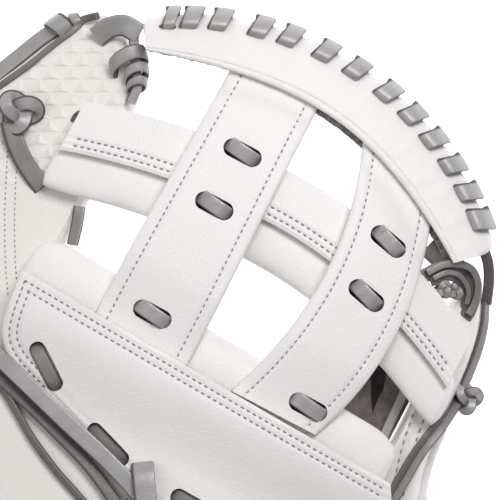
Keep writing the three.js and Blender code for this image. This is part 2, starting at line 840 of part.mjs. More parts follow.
// Gusset: the brown hide beneath the web that closes the corner between the right post and the
// thumb. Corners in the web's directions, h below the dome.
const gusset = { fromA: -1, toA: 24, fromB: 53, toB: 74.4, outerH: -19, innerH: -22, thick: 1.6 };

function thumbGusset() {
  const grid = [];
  for (let i = 0; i <= 5; i++) {
    const row = [0, 0.25, 0.5, 0.75, 1].map((k) => {
      const { x, y } = toPlan(mix(gusset.fromA, gusset.toA, i / 5), mix(gusset.fromB, gusset.toB, k));
      const z = domeHeight(x, y) + mix(gusset.innerH, gusset.outerH, k);
      return { top: new THREE.Vector3(x, y, z), bottom: new THREE.Vector3(x, y, z - gusset.thick) };
    });
    grid.push(row);
  }
  return sheet(grid);
}

const mitt = new THREE.Group();

function add(name, geometry, look) {
  const bare = geometry.clone();
  bare.deleteAttribute("normal");
  bare.deleteAttribute("uv");
  const shared = mergeVertices(bare, 1e-4);
  shared.computeVertexNormals();
  const mesh = new THREE.Mesh(shared, new THREE.MeshStandardMaterial(look));
  mesh.name = name;
  mitt.add(mesh);
}

const whiteLeather = { color: 0xf1eff0, roughness: 0.5, metalness: 0 };
const greyLace = { color: 0x9b9c9f, roughness: 0.45, metalness: 0.1 };
const darkLace = { color: 0x5c5557, roughness: 0.8, metalness: 0 };

add("palm_pad", palmPad(), whiteLeather);
add("thumb_back", backShell(thumbPlaces, thumbStart), whiteLeather);
add("finger_back", backShell(fingerPlaces, fingerStart), whiteLeather);
add("wrist_strap", wristStrap(), whiteLeather);
add("base_roll", baseRoll(), whiteLeather);
add("crossbar_roll", crossbarRoll(), whiteLeather);
add("crossbar_flap", crossbarFlap(), whiteLeather);
for (const [name, shape] of Object.entries(postShapes)) {
  add(name, post(shape), whiteLeather);
  shape.slots.forEach((s, i) => add(`${name}_lace_${i + 1}`, postLace(s), greyLace));
}
add("web_panel", webPanel(), whiteLeather);
panelSlots.forEach((s, i) => add(`panel_lace_${i + 1}`, panelLace(s), greyLace));
add("thumb_gusset", thumbGusset(), darkLace);
add("top_band", topBand(), whiteLeather);
add("band_core", bandCore(), whiteLeather);
wrapAngles.forEach((angle, i) => add(`band_lace_${i + 1}`, wrapLace(angle), greyLace));
add("rim_lace_finger", rimLace(wristLeft + 0.5, sections.length - 2.4, 18), greyLace);
add("rim_lace_thumb", rimLace(1, wristRight - 0.5, 12), greyLace);
for (const [name, shape] of Object.entries(looseLaces)) {
  add(name, looseLace(shape), name.endsWith("dark") ? darkLace : greyLace);
}
for (const [name, { spots, steps, width }] of Object.entries(thumbLaces)) {
  add(name, flankLace(spots, steps, width), greyLace);
}
add("thumb_lace_lower", lace(thumbBackLace.map(backSpot), 8, 4, laceThick), greyLace);
add("thumb_arch", lace(thumbArch, 8, 2.6, 2.6), greyLace);
const knotOn = (place, turn, size) => {
  const { x, y, z } = flankSpot(place, turn, size / 2 + gap);
  return [x, y, z];
};
add("finger_knot", knot(-53, 72, backHeight(-53, 72) + 4, 14, 13, 7, -20), greyLace);
add("rim_knot", knot(...knotOn(20.9, 50, 7), 9, 7, 8, 30), greyLace);
add("panel_knot", knot(-9.5, -64, backHeight(-9.5, -64) + 4.6, 11, 9, 7, -40), greyLace);
add("thumb_knot", knot(...knotOn(2.2, 40, 8.6), 7, 8, 9, 60), greyLace);
add("thumb_end_knot", knot(82, 11, domeHeight(82, 11) + 2.6, 5.5, 5, 5, 0), greyLace);

// Origin: middle of the plan outline, on the floor.
const size = new THREE.Box3().setFromObject(mitt);
const middle = size.getCenter(new THREE.Vector3());
mitt.position.set(-middle.x, -middle.y, -size.min.z);

export default mitt;
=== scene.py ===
# A softball catcher's mitt in white leather with a two-post web and grey laces, lying pocket down.
import math

import bmesh
import bpy
from mathutils import Matrix, Vector, noise


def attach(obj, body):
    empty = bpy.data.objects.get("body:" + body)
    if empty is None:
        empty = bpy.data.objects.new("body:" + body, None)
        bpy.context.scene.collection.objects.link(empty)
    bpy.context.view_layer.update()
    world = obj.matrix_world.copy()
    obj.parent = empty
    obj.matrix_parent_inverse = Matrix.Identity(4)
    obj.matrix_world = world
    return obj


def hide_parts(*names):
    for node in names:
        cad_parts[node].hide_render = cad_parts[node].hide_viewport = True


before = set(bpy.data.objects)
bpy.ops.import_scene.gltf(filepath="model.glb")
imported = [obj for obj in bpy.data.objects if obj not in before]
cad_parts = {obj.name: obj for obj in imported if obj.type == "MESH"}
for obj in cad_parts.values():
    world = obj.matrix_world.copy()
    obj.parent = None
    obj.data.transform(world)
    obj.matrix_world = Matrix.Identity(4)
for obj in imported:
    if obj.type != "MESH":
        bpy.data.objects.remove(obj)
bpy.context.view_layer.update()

scene = bpy.context.scene


# Camera and studio: the photograph looks straight down on the web from far away, so the lens
# is long. The floor is a plain pale sheet that glows a little, as a light table does.
camera = bpy.data.objects.new("photo_camera", bpy.data.cameras.new("photo_camera"))
camera.data.lens = 300
camera.data.sensor_width = 36
photo_centre = (0.0508, 0.0694)
photo_width = 0.159
web_height = 0.058
camera.location = (*photo_centre, web_height + photo_width * camera.data.lens / camera.data.sensor_width)
scene.collection.objects.link(camera)
scene.camera = camera
scene.view_settings.view_transform = "Standard"

world = bpy.data.worlds.new("studio")
scene.world = world
world.use_nodes = True
backdrop = world.node_tree.nodes["Background"].inputs
backdrop["Color"].default_value = (1, 1, 1, 1)
backdrop["Strength"].default_value = 0.30

lit_point = Vector((0.03, 0.04, 0.04))
for name, spot, watts, size in (
    ("key_light", (0.45, 0.85, 1.15), 13.5, 0.7),
    ("fill_light", (-0.9, 0.1, 1.2), 4, 1.2),
):
    lamp = bpy.data.lights.new(name, "AREA")
    lamp.energy = watts
    lamp.size = size
    light = bpy.data.objects.new(name, lamp)
    light.location = spot
    light.rotation_euler = (lit_point - Vector(spot)).to_track_quat("-Z", "Y").to_euler()
    scene.collection.objects.link(light)


class Finish:
    """A socket of a material being mixed: sums on it add its Math nodes."""

    def __init__(self, tree, socket=None):
        self.tree = tree
        self.socket = socket

    def node(self, kind, sockets=None, output=0, **settings):
        """New node of that type with its settings, then the values or links of its sockets."""
        made = self.tree.nodes.new("ShaderNode" + kind)
        for setting, value in settings.items():
            setattr(made, setting, value)
        for socket, value in (sockets or {}).items():
            if isinstance(value, Finish):
                self.tree.links.new(value.socket, made.inputs[socket])
            else:
                made.inputs[socket].default_value = value
        return Finish(self.tree, made.outputs[output] if len(made.outputs) else None)

    def sum(self, operation, *values):
        return self.node("Math", dict(enumerate(values)), operation=operation)

    def blend(self, share, *colours):
        """Mix of two colours, each a socket or a triple."""
        first, second = (colour if isinstance(colour, Finish) else (*colour, 1) for colour in colours)
        return self.node("Mix", {0: share, 6: first, 7: second}, output=2, data_type="RGBA")

    def __add__(self, other):
        return self.sum("ADD", self, other)

    def __sub__(self, other):
        return self.sum("SUBTRACT", self, other)

    def __mul__(self, other):
        return self.sum("MULTIPLY", self, other)

    def __rsub__(self, other):
        return self.sum("SUBTRACT", other, self)

    __radd__ = __add__
    __rmul__ = __mul__


def new_finish(name):
    material = bpy.data.materials.new(name)
    material.use_nodes = True
    material.node_tree.nodes.clear()
    return material, Finish(material.node_tree)


def surface(mixer, sockets):
    """Principled surface with those sockets, as the material's output."""
    shader = mixer.node("BsdfPrincipled", sockets)
    mixer.node("OutputMaterial", {"Surface": shader})


floor_finish, mixer = new_finish("floor_paper")
paper = mixer.node("TexNoise", {"Scale": 40.0, "Detail": 3.0})
tone = mixer.blend(paper, (0.94, 0.94, 0.94), (0.97, 0.97, 0.97))
surface(mixer, {
    "Base Color": tone,
    "Roughness": 0.9,
    "Specular IOR Level": 0.1,
    "Emission Color": (1, 1, 1, 1),
    "Emission Strength": 0.62,
})
bm = bmesh.new()
bmesh.ops.create_grid(bm, x_segments=2, y_segments=2, size=3)
floor_mesh = bpy.data.meshes.new("floor")
bm.to_mesh(floor_mesh)
bm.free()
floor_mesh.materials.append(floor_finish)
floor = bpy.data.objects.new("floor", floor_mesh)
scene.collection.objects.link(floor)


# Palm pad: the thick stuffed roll round the mitt's rim and the pocket skin between, sewn from
# white leather, with a grey knit lining in the hollow for the hand. It is the first piece, so
# the mitt's plan and its domed back are given here. Each place of the outline is a point of the
# rim, in plan, and the point across from it on the inner side, along and across the web.
web_turn = math.radians(62.2)
plan_shift = (29.536, 42.088)
outline = (
    (97.3, 14.6, 57, 71), (96.7, 0.3, 44, 72), (91.3, -15.6, 28, 74), (84.0, -30.5, 12, 75),
    (79.2, -42.6, 0, 75), (76.5, -57, -13, 74), (73.0, -84, -20, 66), (59.5, -115.8, -20, 52),
    (37.2, -147.6, -20, 40), (5.4, -174.6, -20, 28), (-32.8, -188.9, -20, 16), (-74.1, -190.5, -20, 4),
    (-112.3, -177.8, -20, -8), (-139.3, -153.9, -20, -20), (-153.6, -122.1, -20, -31),
    (-157.7, -84.0, -20, -41), (-150.4, -42.6, -16, -47.5), (-134.5, -2.9, 2, -47.5),
    (-112.3, 33.7, 22, -47.5), (-86.8, 63.9, 42, -47.5), (-58.2, 87.1, 60, -49),
    (-39.1, 101.1, 73, -56), (-28.0, 104.8, 80, -66),
)
wrist_right, wrist_left = 8, 12
last_place = len(outline) - 1
dome_height, hump_height = 66, 16
leather_thick = 2.5
under_leather = leather_thick + 0.6
pad_thick = 12
hand_room = 22
hand_middle = (-39, -110)
wrist_floor = 24
widest_share = 0.45
sharp_fold = math.radians(55)


def mix(a, b, share):
    return a + (b - a) * share


def smooth(value, low, high):
    share = min(1, max(0, (value - low) / (high - low)))
    return share * share * (3 - 2 * share)


def plan(a, b):
    """Plan position from a along the web's posts and b across them."""
    ca, sa = math.cos(web_turn), math.sin(web_turn)
    return Vector((a * ca + b * sa, a * sa - b * ca))


def web_a(x, y):
    return x * math.cos(web_turn) + y * math.sin(web_turn)


def web_b(x, y):
    return x * math.sin(web_turn) - y * math.cos(web_turn)


def dome(x, y):
    """Height that the web's straps lie on, with a hump over the hand."""
    a, b = web_a(x, y), web_b(x, y)
    fall = 0.0015 if a > -40 else 0.001
    hump = hump_height * math.exp(-((x + 39) ** 2 + (y + 122) ** 2) / 5000)
    return dome_height - fall * (a + 40) ** 2 - 0.0014 * (b - 14) ** 2 + hump


def back(x, y):
    """Top of the back leather: 3 mm under the dome, and 10 mm where the web lies over it."""
    return dome(x, y) - mix(3, 10, smooth(web_a(x, y), -38, -25))


def at(x, y, z):
    """Point of the frame, in metres, from a plan point and a height in millimetres."""
    return Vector((x + plan_shift[0], y + plan_shift[1], z)) / 1000


def on_web(a, b, h):
    """Point of the frame at a height over the dome, from a place along and across the web."""
    x, y = plan(a, b)
    return at(x, y, dome(x, y) + h)


def through(points):
    """Smooth curve through points, as a function of 0 to 1 with an equal share for each span."""
    inner = [Vector(p) for p in points]
    ends = [2 * inner[0] - inner[1], *inner, 2 * inner[-1] - inner[-2]]

    def spot(t):
        reach = min(1, max(0, t)) * (len(inner) - 1)
        i = min(int(reach), len(inner) - 2)
        w = reach - i
        p, q, r, s = ends[i:i + 4]
        d0, d1, d2 = (q - p).length ** 0.5, (r - q).length ** 0.5, (s - r).length ** 0.5
        leave = ((q - p) / d0 - (r - p) / (d0 + d1) + (r - q) / d1) * d1
        arrive = ((r - q) / d1 - (s - q) / (d1 + d2) + (s - r) / d2) * d1
        square, cube = 3 * (r - q) - 2 * leave - arrive, 2 * (q - r) + leave + arrive
        return q + w * leave + w * w * square + w ** 3 * cube

    return spot


rim = through([row[:2] for row in outline])
web_side = through([plan(*row[2:]) for row in outline])


def cross_line(place):
    """The line across the body at a place: its ends, its length and its two roundings."""
    start, end = rim(place / last_place), web_side(place / last_place)
    width = (end - start).length
    return start, end, width, min(13, 0.3 * width), min(4, 0.15 * width)


def under_wrist(place):
    """1 where the rim runs under the open wrist, 0 along the thumb and the fingers."""
    from_thumb = smooth(place, wrist_right, wrist_right + 1.2)
    return from_thumb * (1 - smooth(place, wrist_left - 0.8, wrist_left + 0.4))


def bulge(reach, size):
    """Quarter circle of 0 to 1 that rounds an edge over its first stretch of that size."""
    return math.sqrt(max(0, 1 - (1 - min(1, reach / size)) ** 2))


def palm_heights(place, x, y, d, width, rounding, inner):
    """Top and underside of the pad at distance d in from its rim."""
    cover = back(x, y) - under_leather
    rest = rounding + min(7, 0.25 * width)
    inside = width - d
    pocket = smooth(d, rest, rest + 0.7 * width)
    wide = smooth(width, 40, 66)
    hollow = smooth(d, rounding + 2, rounding + 16) * smooth(inside, inner + 2, inner + 16) * wide
    under = (cover - pad_thick - 2 - hand_room * hollow) * pocket
    edge_top = mix(cover, wrist_floor, under_wrist(place) * (1 - smooth(d, 30, 80)))
    top = mix(edge_top, min(cover, under + pad_thick), hollow)
    middle, inner_middle = widest_share * edge_top, (top + under) / 2
    outer, near = bulge(d, rounding), bulge(inside, inner)
    return (
        min(mix(middle, top, outer), mix(inner_middle, top, near)),
        max(middle * (1 - outer), mix(inner_middle, under, near)),
    )


def skin(bm, along, around, place):
    """Closed skin: a grid bent round by place(t, i), joined along its seam, its ends filled."""
    verts = bmesh.ops.create_grid(
        bm, x_segments=along, y_segments=around, size=0.5, calc_uvs=bool(bm.loops.layers.uv))["verts"]
    for vert in verts:
        t = round((vert.co.x + 0.5) * along) / along
        vert.co = place(t, round((vert.co.y + 0.5) * around) % around)
    bmesh.ops.remove_doubles(bm, verts=verts, dist=2e-6)
    edges = {edge for vert in verts if vert.is_valid for edge in vert.link_edges if edge.is_boundary}
    bmesh.ops.holes_fill(bm, edges=list(edges))


def new_bmesh():
    """Empty bmesh with a UV map, which skin fills as it makes its grid."""
    bm = bmesh.new()
    bm.loops.layers.uv.new("UVMap")
    return bm


def make(name, bm, finish, slot, *nodes):
    """Piece from a bmesh: closed, facing out, on the body and standing for its nodes."""
    bmesh.ops.recalc_face_normals(bm, faces=bm.faces)
    mesh = bpy.data.meshes.new(name)
    bm.to_mesh(mesh)
    bm.free()
    mesh.shade_smooth()
    mesh.set_sharp_from_angle(angle=sharp_fold)
    mesh.materials.append(finish)
    piece = bpy.data.objects.new(name, mesh)
    scene.collection.objects.link(piece)
    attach(piece, "root")
    if nodes:
        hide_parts(*nodes)
    return piece


def make_skin(name, along, around, place, finish, slot, *nodes):
    """Piece that is one closed skin."""
    bm = new_bmesh()
    skin(bm, along, around, place)
    return make(name, bm, finish, slot, *nodes)


def pressed_triangles(mixer, spot):
    """Low relief of small triangles pressed in rows near the fingertip, as a height of 0 to 1."""
    row_pitch, triangle_pitch = 4.3, 6.9
    way = [mixer.node("SeparateXYZ", {0: spot}, output=axis) for axis in (0, 1)]
    row = way[1] * (1000 / row_pitch)
    column = way[0] * (1000 / triangle_pitch) + mixer.sum("FLOOR", row) * 0.5
    up = mixer.sum("FRACT", row)
    aside = mixer.sum("ABSOLUTE", mixer.sum("FRACT", column) - 0.5)
    wedge = mixer.sum("MAXIMUM", mixer.sum("MINIMUM", up * 5, (0.95 - up - aside * 2) * 1.3), 0)
    near_tip = mixer.node("MapRange", {0: way[1], 1: 0.086, 2: 0.098, 3: 0.0, 4: 1.0})
    return wedge * near_tip


def toned(colour, share):
    return [part * share for part in colour]


def leather_finish(name, pale, shade, pressed=False, lined=False):
    """Smooth semi-matt leather: fine pores, faint pebbling and soft tone changes.

    Pressed leather has the triangles, and lined leather turns to knit cloth where the
    piece's lined attribute says so.
    """
    material, mixer = new_finish(name)
    spot = mixer.node("TexCoord", output=3)
    pores = mixer.node("TexVoronoi", {"Vector": spot, "Scale": 1500.0}, feature="SMOOTH_F1")
    pebbles = mixer.node("TexNoise", {"Vector": spot, "Scale": 520.0, "Detail": 3.0, "Roughness": 0.6})
    folds = mixer.node("TexNoise", {"Vector": spot, "Scale": 38.0, "Detail": 4.0, "Distortion": 0.4})
    clouds = mixer.node("TexNoise", {"Vector": spot, "Scale": 14.0, "Detail": 2.0})
    tone = mixer.blend(clouds, shade, pale)
    tone = mixer.blend(pores * 0.10, tone, toned(shade, 0.8))
    relief = pores * 0.45 + pebbles * 0.25 + folds * 1.6
    if pressed:
        relief = relief + pressed_triangles(mixer, spot) * 3.2
    if lined:
        share = mixer.node("Attribute", output=2, attribute_name="lined")
        share = mixer.node("MapRange", {0: share, 1: 0.46, 2: 0.54, 3: 0.0, 4: 1.0})
        knit = mixer.node("TexVoronoi", {"Vector": spot, "Scale": 700.0})
        cloth = mixer.blend(folds, (0.40, 0.385, 0.38), (0.56, 0.545, 0.535))
        tone = mixer.blend(share, tone, cloth)
        relief = relief + knit * share * 0.9
    bump = mixer.node("Bump", {"Strength": 0.45, "Distance": 0.0005, "Height": relief})
    surface(mixer, {
        "Base Color": tone,
        "Roughness": 0.40 + pebbles * 0.16,
        "Specular IOR Level": 0.42,
        "Coat Weight": 0.06,
        "Coat Roughness": 0.35,
        "Normal": bump,
    })
    return material


white_tones = (0.87, 0.85, 0.84), (0.80, 0.775, 0.765)
white_leather = leather_finish("white_leather", *white_tones)
pressed_leather = leather_finish("pressed_leather", (0.845, 0.82, 0.785), (0.765, 0.738, 0.70), pressed=True)
lined_leather = leather_finish("lined_leather", *white_tones, lined=True)
palm_around = 112
rim_points, inner_points = 0.22, 0.12


def across(i, around):
    """Whether a section's point is on its top, and its share of the way from edge to edge."""
    k = 2 * i / around
    return k <= 1, min(k, 2 - k)


def palm_place(t, i):
    place = t * last_place
    start, end, width, rounding, inner = cross_line(place)
    over, s = across(i, palm_around)
    flat_points = 1 - rim_points - inner_points
    if s < rim_points:
        d = rounding * (1 - math.cos(s / rim_points * math.pi / 2))
    elif s < 1 - inner_points:
        d = mix(rounding, width - inner, (s - rim_points) / flat_points)
    else:
        d = width - inner * (1 - math.sin((s - 1 + inner_points) / inner_points * math.pi / 2))
    spot = start.lerp(end, d / width)
    top, bottom = palm_heights(place, spot.x, spot.y, d, width, rounding, inner)
    soft = noise.noise(Vector((spot.x, spot.y, 0)) * 0.045) * bulge(min(d, width - d), 20)
    return at(spot.x, spot.y, top + min(0, soft) * 1.2 if over else bottom)


palm_pad = make_skin("palm_padding", 150, palm_around, palm_place, lined_leather, "white_leather", "palm_pad")
lined = palm_pad.data.attributes.new("lined", "FLOAT", "POINT")
for vert, share in zip(palm_pad.data.vertices, lined.data):
    x, y = vert.co.x * 1000 - plan_shift[0], vert.co.y * 1000 - plan_shift[1]
    depth = back(x, y) - leather_thick - vert.co.z * 1000
    hand = 1 - smooth(math.dist((x, y), hand_middle), 74, 86)
    share.value = smooth(depth, 3, 13) * smooth(vert.normal.z, 0.0, 0.2) * hand


# Back leathers of the fingers and of the thumb: 2.5 mm hides moulded over the pad's rim, with
# stitched channels that part the finger stalls and a rolled edge round the hand opening.
finger_seams = [
    through([(-104, -104), (-116, -70), (-122, -36), (-122, -18)]),
    through([(-84, -96), (-98, -56), (-102, -22), (-98, 8)]),
    through([(-66, -84), (-80, -44), (-82, -6), (-73, 32)]),
]
thumb_seams = [through([(44, -112), (60, -84), (67, -58), (72, -36), (80, -14)])]


def near_seam(x, y, seams):
    """Distance in plan from a point to the nearest of the seams."""
    return min(math.hypot(p.x - x, p.y - y) for line in seams for p in line)


seam_dots = {
    "finger": [[seam(n / 48) for n in range(49)] for seam in finger_seams],
    "thumb": [[seam(n / 48) for n in range(49)] for seam in thumb_seams],
}


def channel(x, y, side):
    """How deep the leather is drawn down by the sewn channels there."""
    return 1.7 * math.exp(-(near_seam(x, y, seam_dots[side]) / 3.4) ** 2)


def back_top(x, y, side):
    return back(x, y) - channel(x, y, side)


def back_skin(name, side, finish, first, last, begin_at, along, node):
    """Hide over the rim from a first to a last place, from begin_at(place) mm in from the rim."""
    around = 96

    def place(t, i):
        spot_place = mix(first, last, t)
        start, end, width, rounding, inner = cross_line(spot_place)
        low = max(0.5 * rounding, begin_at(spot_place))
        high = width - 0.5 * inner
        over, s = across(i, around)
        d = mix(low, high, s)
        here = start.lerp(end, d / width)
        dip = 0
        if low == 0.5 * rounding and (d < rounding or width - d < inner):
            top, _ = palm_heights(spot_place, here.x, here.y, d, width, rounding, inner)
            dip = max(0, back(here.x, here.y) - under_leather - top)
        edge = min(s, 1 - s) * (high - low)
        lip = 0.9 * (1 - bulge(min(edge, 1.2), 1.2))
        sunk = channel(here.x, here.y, side)
        if not over:
            sunk = min(sunk, 0.3)
        height = back(here.x, here.y) - dip - sunk - (lip if over else leather_thick - lip)
        return at(here.x, here.y, height)

    make_skin(name, along, around, place, finish, "white_leather", node)


hand_opening = 125
back_skin("thumb_back_leather", "thumb", white_leather, 0, 9.5,
          lambda place: hand_opening * smooth(place, wrist_right - 0.2, wrist_right + 1.6), 80, "thumb_back")
back_skin("finger_back_leather", "finger", pressed_leather, 10.65, 21.25,
          lambda place: hand_opening * (1 - smooth(place, wrist_left - 1.6, wrist_left + 0.3)),
          110, "finger_back")


# Wrist strap: a 26 mm strap of white leather across the hand opening, at the back of the wrist.
# Its two layers are sewn together along both edges.
def ring(corners, radius, step):
    """Points round a closed section, its corners rounded and its long sides split at a step."""
    points = [Vector(corner) for corner in corners]
    line = []
    for before, corner, after in zip(points[-1:] + points[:-1], points, points[1:] + points[:1]):
        start = corner.lerp(before, min(0.45, radius / (before - corner).length))
        end = corner.lerp(after, min(0.45, radius / (after - corner).length))
        line += [start.lerp(corner, s).lerp(corner.lerp(end, s), s) for s in (0, 0.33, 0.67, 1)]
    section = []
    for here, after in zip(line, line[1:] + line[:1]):
        parts = max(1, math.ceil((after - here).length / step))
        section += [here.lerp(after, n / parts) for n in range(parts)]
    return section


strap_line = through([(-101, -136), (-72, -150), (-38, -156), (-2, -148), (30, -124)])
strap_half = 13
strap_section = ring([(-1, 0), (-1, 3), (-0.80, 3.05), (-0.76, 2.75), (-0.72, 3.05), (0.72, 3.05),
                      (0.76, 2.75), (0.80, 3.05), (1, 3), (1, 0)], 0.35, 0.09)


def strap_place(t, i):
    spot = strap_line(t)
    ahead = (strap_line(t + 0.005) - strap_line(t - 0.005)).normalized()
    side, h = strap_section[i]
    x, y = spot.x - ahead.y * side * strap_half, spot.y + ahead.x * side * strap_half
    return at(x, y, back(x, y) + 0.3 + h)


make_skin("wrist_strap_leather", 90, len(strap_section), strap_place, white_leather, "white_leather",
          "wrist_strap")


# Stitching thread: grey bonded thread, sewn at a pitch of 2.2 mm on the web and of 3 mm on the
# back. Each stitch is a tight little bead pulled down into the leather.
thread_finish, mixer = new_finish("grey_thread")
spot = mixer.node("TexCoord", output=3)
twist = mixer.node("TexWave", {"Vector": spot, "Scale": 900.0, "Distortion": 2.0}, bands_direction="DIAGONAL")
surface(mixer, {
    "Base Color": mixer.blend(twist, (0.20, 0.195, 0.21), (0.33, 0.33, 0.35)),
    "Roughness": 0.62,
    "Sheen Weight": 0.2,
    "Normal": mixer.node("Bump", {"Strength": 0.3, "Distance": 0.0002, "Height": twist}),
})


def stitch_row(bm, line, height, pitch=2.2, long=1.45, wide=0.62):
    """Stitches along a plan curve, laid on a surface of that height."""
    steps = 160
    dots = [line(n / steps) for n in range(steps + 1)]
    walked = 0
    wanted = pitch / 2
    for here, after in zip(dots, dots[1:]):
        span = (after - here).length
        while wanted <= walked + span:
            spot = here.lerp(after, (wanted - walked) / span)
            ahead = (after - here).normalized() * 0.6
            ends = [Vector((*(spot + ahead * way), height(*(spot + ahead * way)))) for way in (-1, 1)]
            turn = (ends[1] - ends[0]).to_track_quat("X", "Z").to_matrix().to_4x4()
            middle = (ends[0] + ends[1]) / 2
            place = Matrix.Translation(at(middle.x, middle.y, middle.z + 0.05)) @ turn
            place = place @ Matrix.Diagonal((long / 1000, wide / 1000, wide / 1000, 1))
            bmesh.ops.create_uvsphere(bm, u_segments=6, v_segments=4, radius=0.5, matrix=place)
            wanted += pitch
        walked += span


def beside(line, offset):
    """The curve that runs at an offset to the left of a plan curve."""
    def spot(t):
        ahead = (line(t + 0.01) - line(t - 0.01)).normalized()
        return line(t) + Vector((-ahead.y, ahead.x)) * offset
    return spot


long_stitches = 3.0, 1.9, 0.7
bm = bmesh.new()
for side, seams in (("finger", finger_seams), ("thumb", thumb_seams)):
    for seam in seams:
        for offset in (-1.9, 1.9):
            stitch_row(bm, beside(seam, offset), lambda x, y: back_top(x, y, side), *long_stitches)
for offset in (-9.9, 9.9):
    stitch_row(bm, beside(strap_line, offset), lambda x, y: back(x, y) + 3.15, *long_stitches)
for place, side in ((9.3, "thumb"), (9.2, "thumb"), (10.85, "finger"), (10.95, "finger")):
    start, end, width = cross_line(place)[:3]
    first_share = 0.56 if width > 90 else 0.4
    stitch_row(bm, lambda t: start.lerp(end, mix(first_share, 0.93, t)), lambda x, y: back_top(x, y, side),
               *long_stitches)
for x in (-57.6, -54.4):
    index_seam = through([(x + 0.6, 60), (x, 40), (x + 0.4, 24), (x + 1.4, 12)])
    stitch_row(bm, index_seam, lambda x, y: back_top(x, y, "finger"), 1.7, 0.9, 0.5)
make("back_stitching", bm, thread_finish, "grey_lace")


# Rolls of the web: the base roll and the crossbar's roll are leather wrapped round soft
# padding, and the posts are laid over them.
def bow(b):
    """How far the crossbar bends down the posts, at a place across them."""
    return (0.00217 if b < 7 else 0.00354) * (b - 7) ** 2


def on_body(b):
    """1 where a roll's ends lie on the body, 0 where it hangs free between the two posts."""
    return max(1 - smooth(b, -45, -36), smooth(b, 58, 66))


def roll(name, from_b, to_b, limits, heights, taper, node):
    """Padded roll along b: limits(b) gives its two edges, heights(b) its underside and top."""
    around, along = 44, 110

    def place(t, i):
        b = mix(from_b, to_b, t)
        end = 1 - taper * (1 - math.sin(math.pi * min(0.5, 6 * min(t, 1 - t))))
        closing = bulge(min(t, 1 - t) * abs(to_b - from_b) + 0.3, 2.4)
        low, high = limits(b)
        under, over = heights(b)
        turn = 2 * math.pi * i / around
        boxy = [math.copysign(abs(v) ** 0.75, v) for v in (math.cos(turn), math.sin(turn))]
        crinkle = 0.25 * noise.noise(Vector((b * 0.35, turn * 0.8, low)))
        a = mix(low, high, 0.5 + 0.5 * boxy[0] * end * closing)
        middle = (under + over) / 2
        return on_web(a, b, middle + (over - middle) * boxy[1] * closing - abs(crinkle) * (boxy[1] > 0))

    piece = make_skin(name, along, around, place, white_leather, "white_leather", node)


roll("base_roll_padding", -55, 78, lambda b: (-18.3, 6.6 - 0.05 * (b + 10)),
     lambda b: (mix(-12, -9.6, on_body(b)), -0.3), 0.3, "base_roll")
roll("crossbar_roll_padding", -64, 85, lambda b: (30.7 - bow(b), 49.7 - bow(b)),
     lambda b: (mix(-12.5, -9.6, on_body(b)), -3.1), 0.15, "crossbar_roll")


# Crossbar flap: the hide of the crossbar folded over its roll, creased and sewn down with two
# rows beside the crease, its upper edge left raw under the posts.
flap_top, flap_fold = 62.2, 44.7
flap_from, flap_to = -63, 82
flap_rows = (0.13, 0.27)
flap_section = ring([(0, -2.8), (0, -0.8), (0.07, -0.3), (flap_rows[0], -0.55), (0.19, -0.3),
                     (flap_rows[1], -0.55), (0.33, -0.3), (1, -0.35), (1, -2.8)], 0.03, 0.035)


def flap_place(t, i):
    b = mix(flap_from, flap_to, t)
    k, h = flap_section[i]
    return on_web(mix(flap_fold, flap_top, k) - bow(b), b, h)


make_skin("crossbar_flap_leather", 110, len(flap_section), flap_place, white_leather, "white_leather",
          "crossbar_flap")
bm = bmesh.new()
for share in flap_rows:
    def flap_row(t):
        b = mix(flap_from + 3, flap_to - 3, t)
        return plan(mix(flap_fold, flap_top, share) - bow(b), b)

    stitch_row(bm, flap_row, lambda x, y: dome(x, y) - 0.4)
make("crossbar_stitching", bm, thread_finish, "grey_lace")


# Posts: two wide straps of doubled hide, sewn down both edges, with three oval slots each
# through which a lace ties them to the bars beneath. Each is given by its middle line and its
# half width along the web, and by its slots as (along, across, turn).
def raw_hide(name, deep, light, specks=900.0):
    """Cut or suede side of a hide: matt, its short fibres light and dark. Also used for near-black painted
    shade.
    """
    material, mixer = new_finish(name)
    spot = mixer.node("TexCoord", output=3)
    fibres = mixer.node("TexNoise", {"Vector": spot, "Scale": specks, "Detail": 4.0, "Roughness": 0.7})
    share = mixer.node("MapRange", {0: fibres, 1: 0.35, 2: 0.65, 3: 0.0, 4: 1.0})
    surface(mixer, {
        "Base Color": mixer.blend(share, deep, light),
        "Roughness": 0.85,
        "Normal": mixer.node("Bump", {"Strength": 0.6, "Distance": 0.0004, "Height": fibres}),
    })
    return material


# Raw cut edges of hide on the slots' walls, and also the painted shade of the discs in the slots and the lace
# holes.
raw_edge_and_painted_shade = raw_hide("raw_edge_and_painted_shade", (0.045, 0.036, 0.036), (0.16, 0.135, 0.13))
posts = {
    "post_left": (lambda a: -11.2, lambda a: mix(16.8, 15.4, smooth(a, 0, 90)),
                  ((60.4, -10.5, 0), (41.2, -10.5, 0), (1.75, -11.8, 0))),
    "post_right": (lambda a: 45.1 - 0.00457 * (a - 35) ** 2, lambda a: mix(15.2, 13.2, smooth(a, 0, 90)),
                   ((57.0, 43.8, -12), (38.5, 45.5, -12), (-1.3, 45.5, 0))),
}
post_foot, post_reach, post_thick, post_end_thick = -8, 97, 5, 2
post_inset = 4.1
post_sewn_from, post_sewn_to = -7, 84
slot_long, slot_wide = 13, 6
post_turn = web_turn - math.pi / 2
cutter_tall = 0.04


def post_height(x, y):
    """Thickness of a post, which is skived at its foot and where the top band covers it."""
    full = smooth(web_a(x, y), -8, 18) * (1 - smooth(math.hypot(x, y), 73, 81))
    return mix(post_end_thick, post_thick, full)


def post_top(x, y):
    return dome(x, y) + post_height(x, y) - 0.25


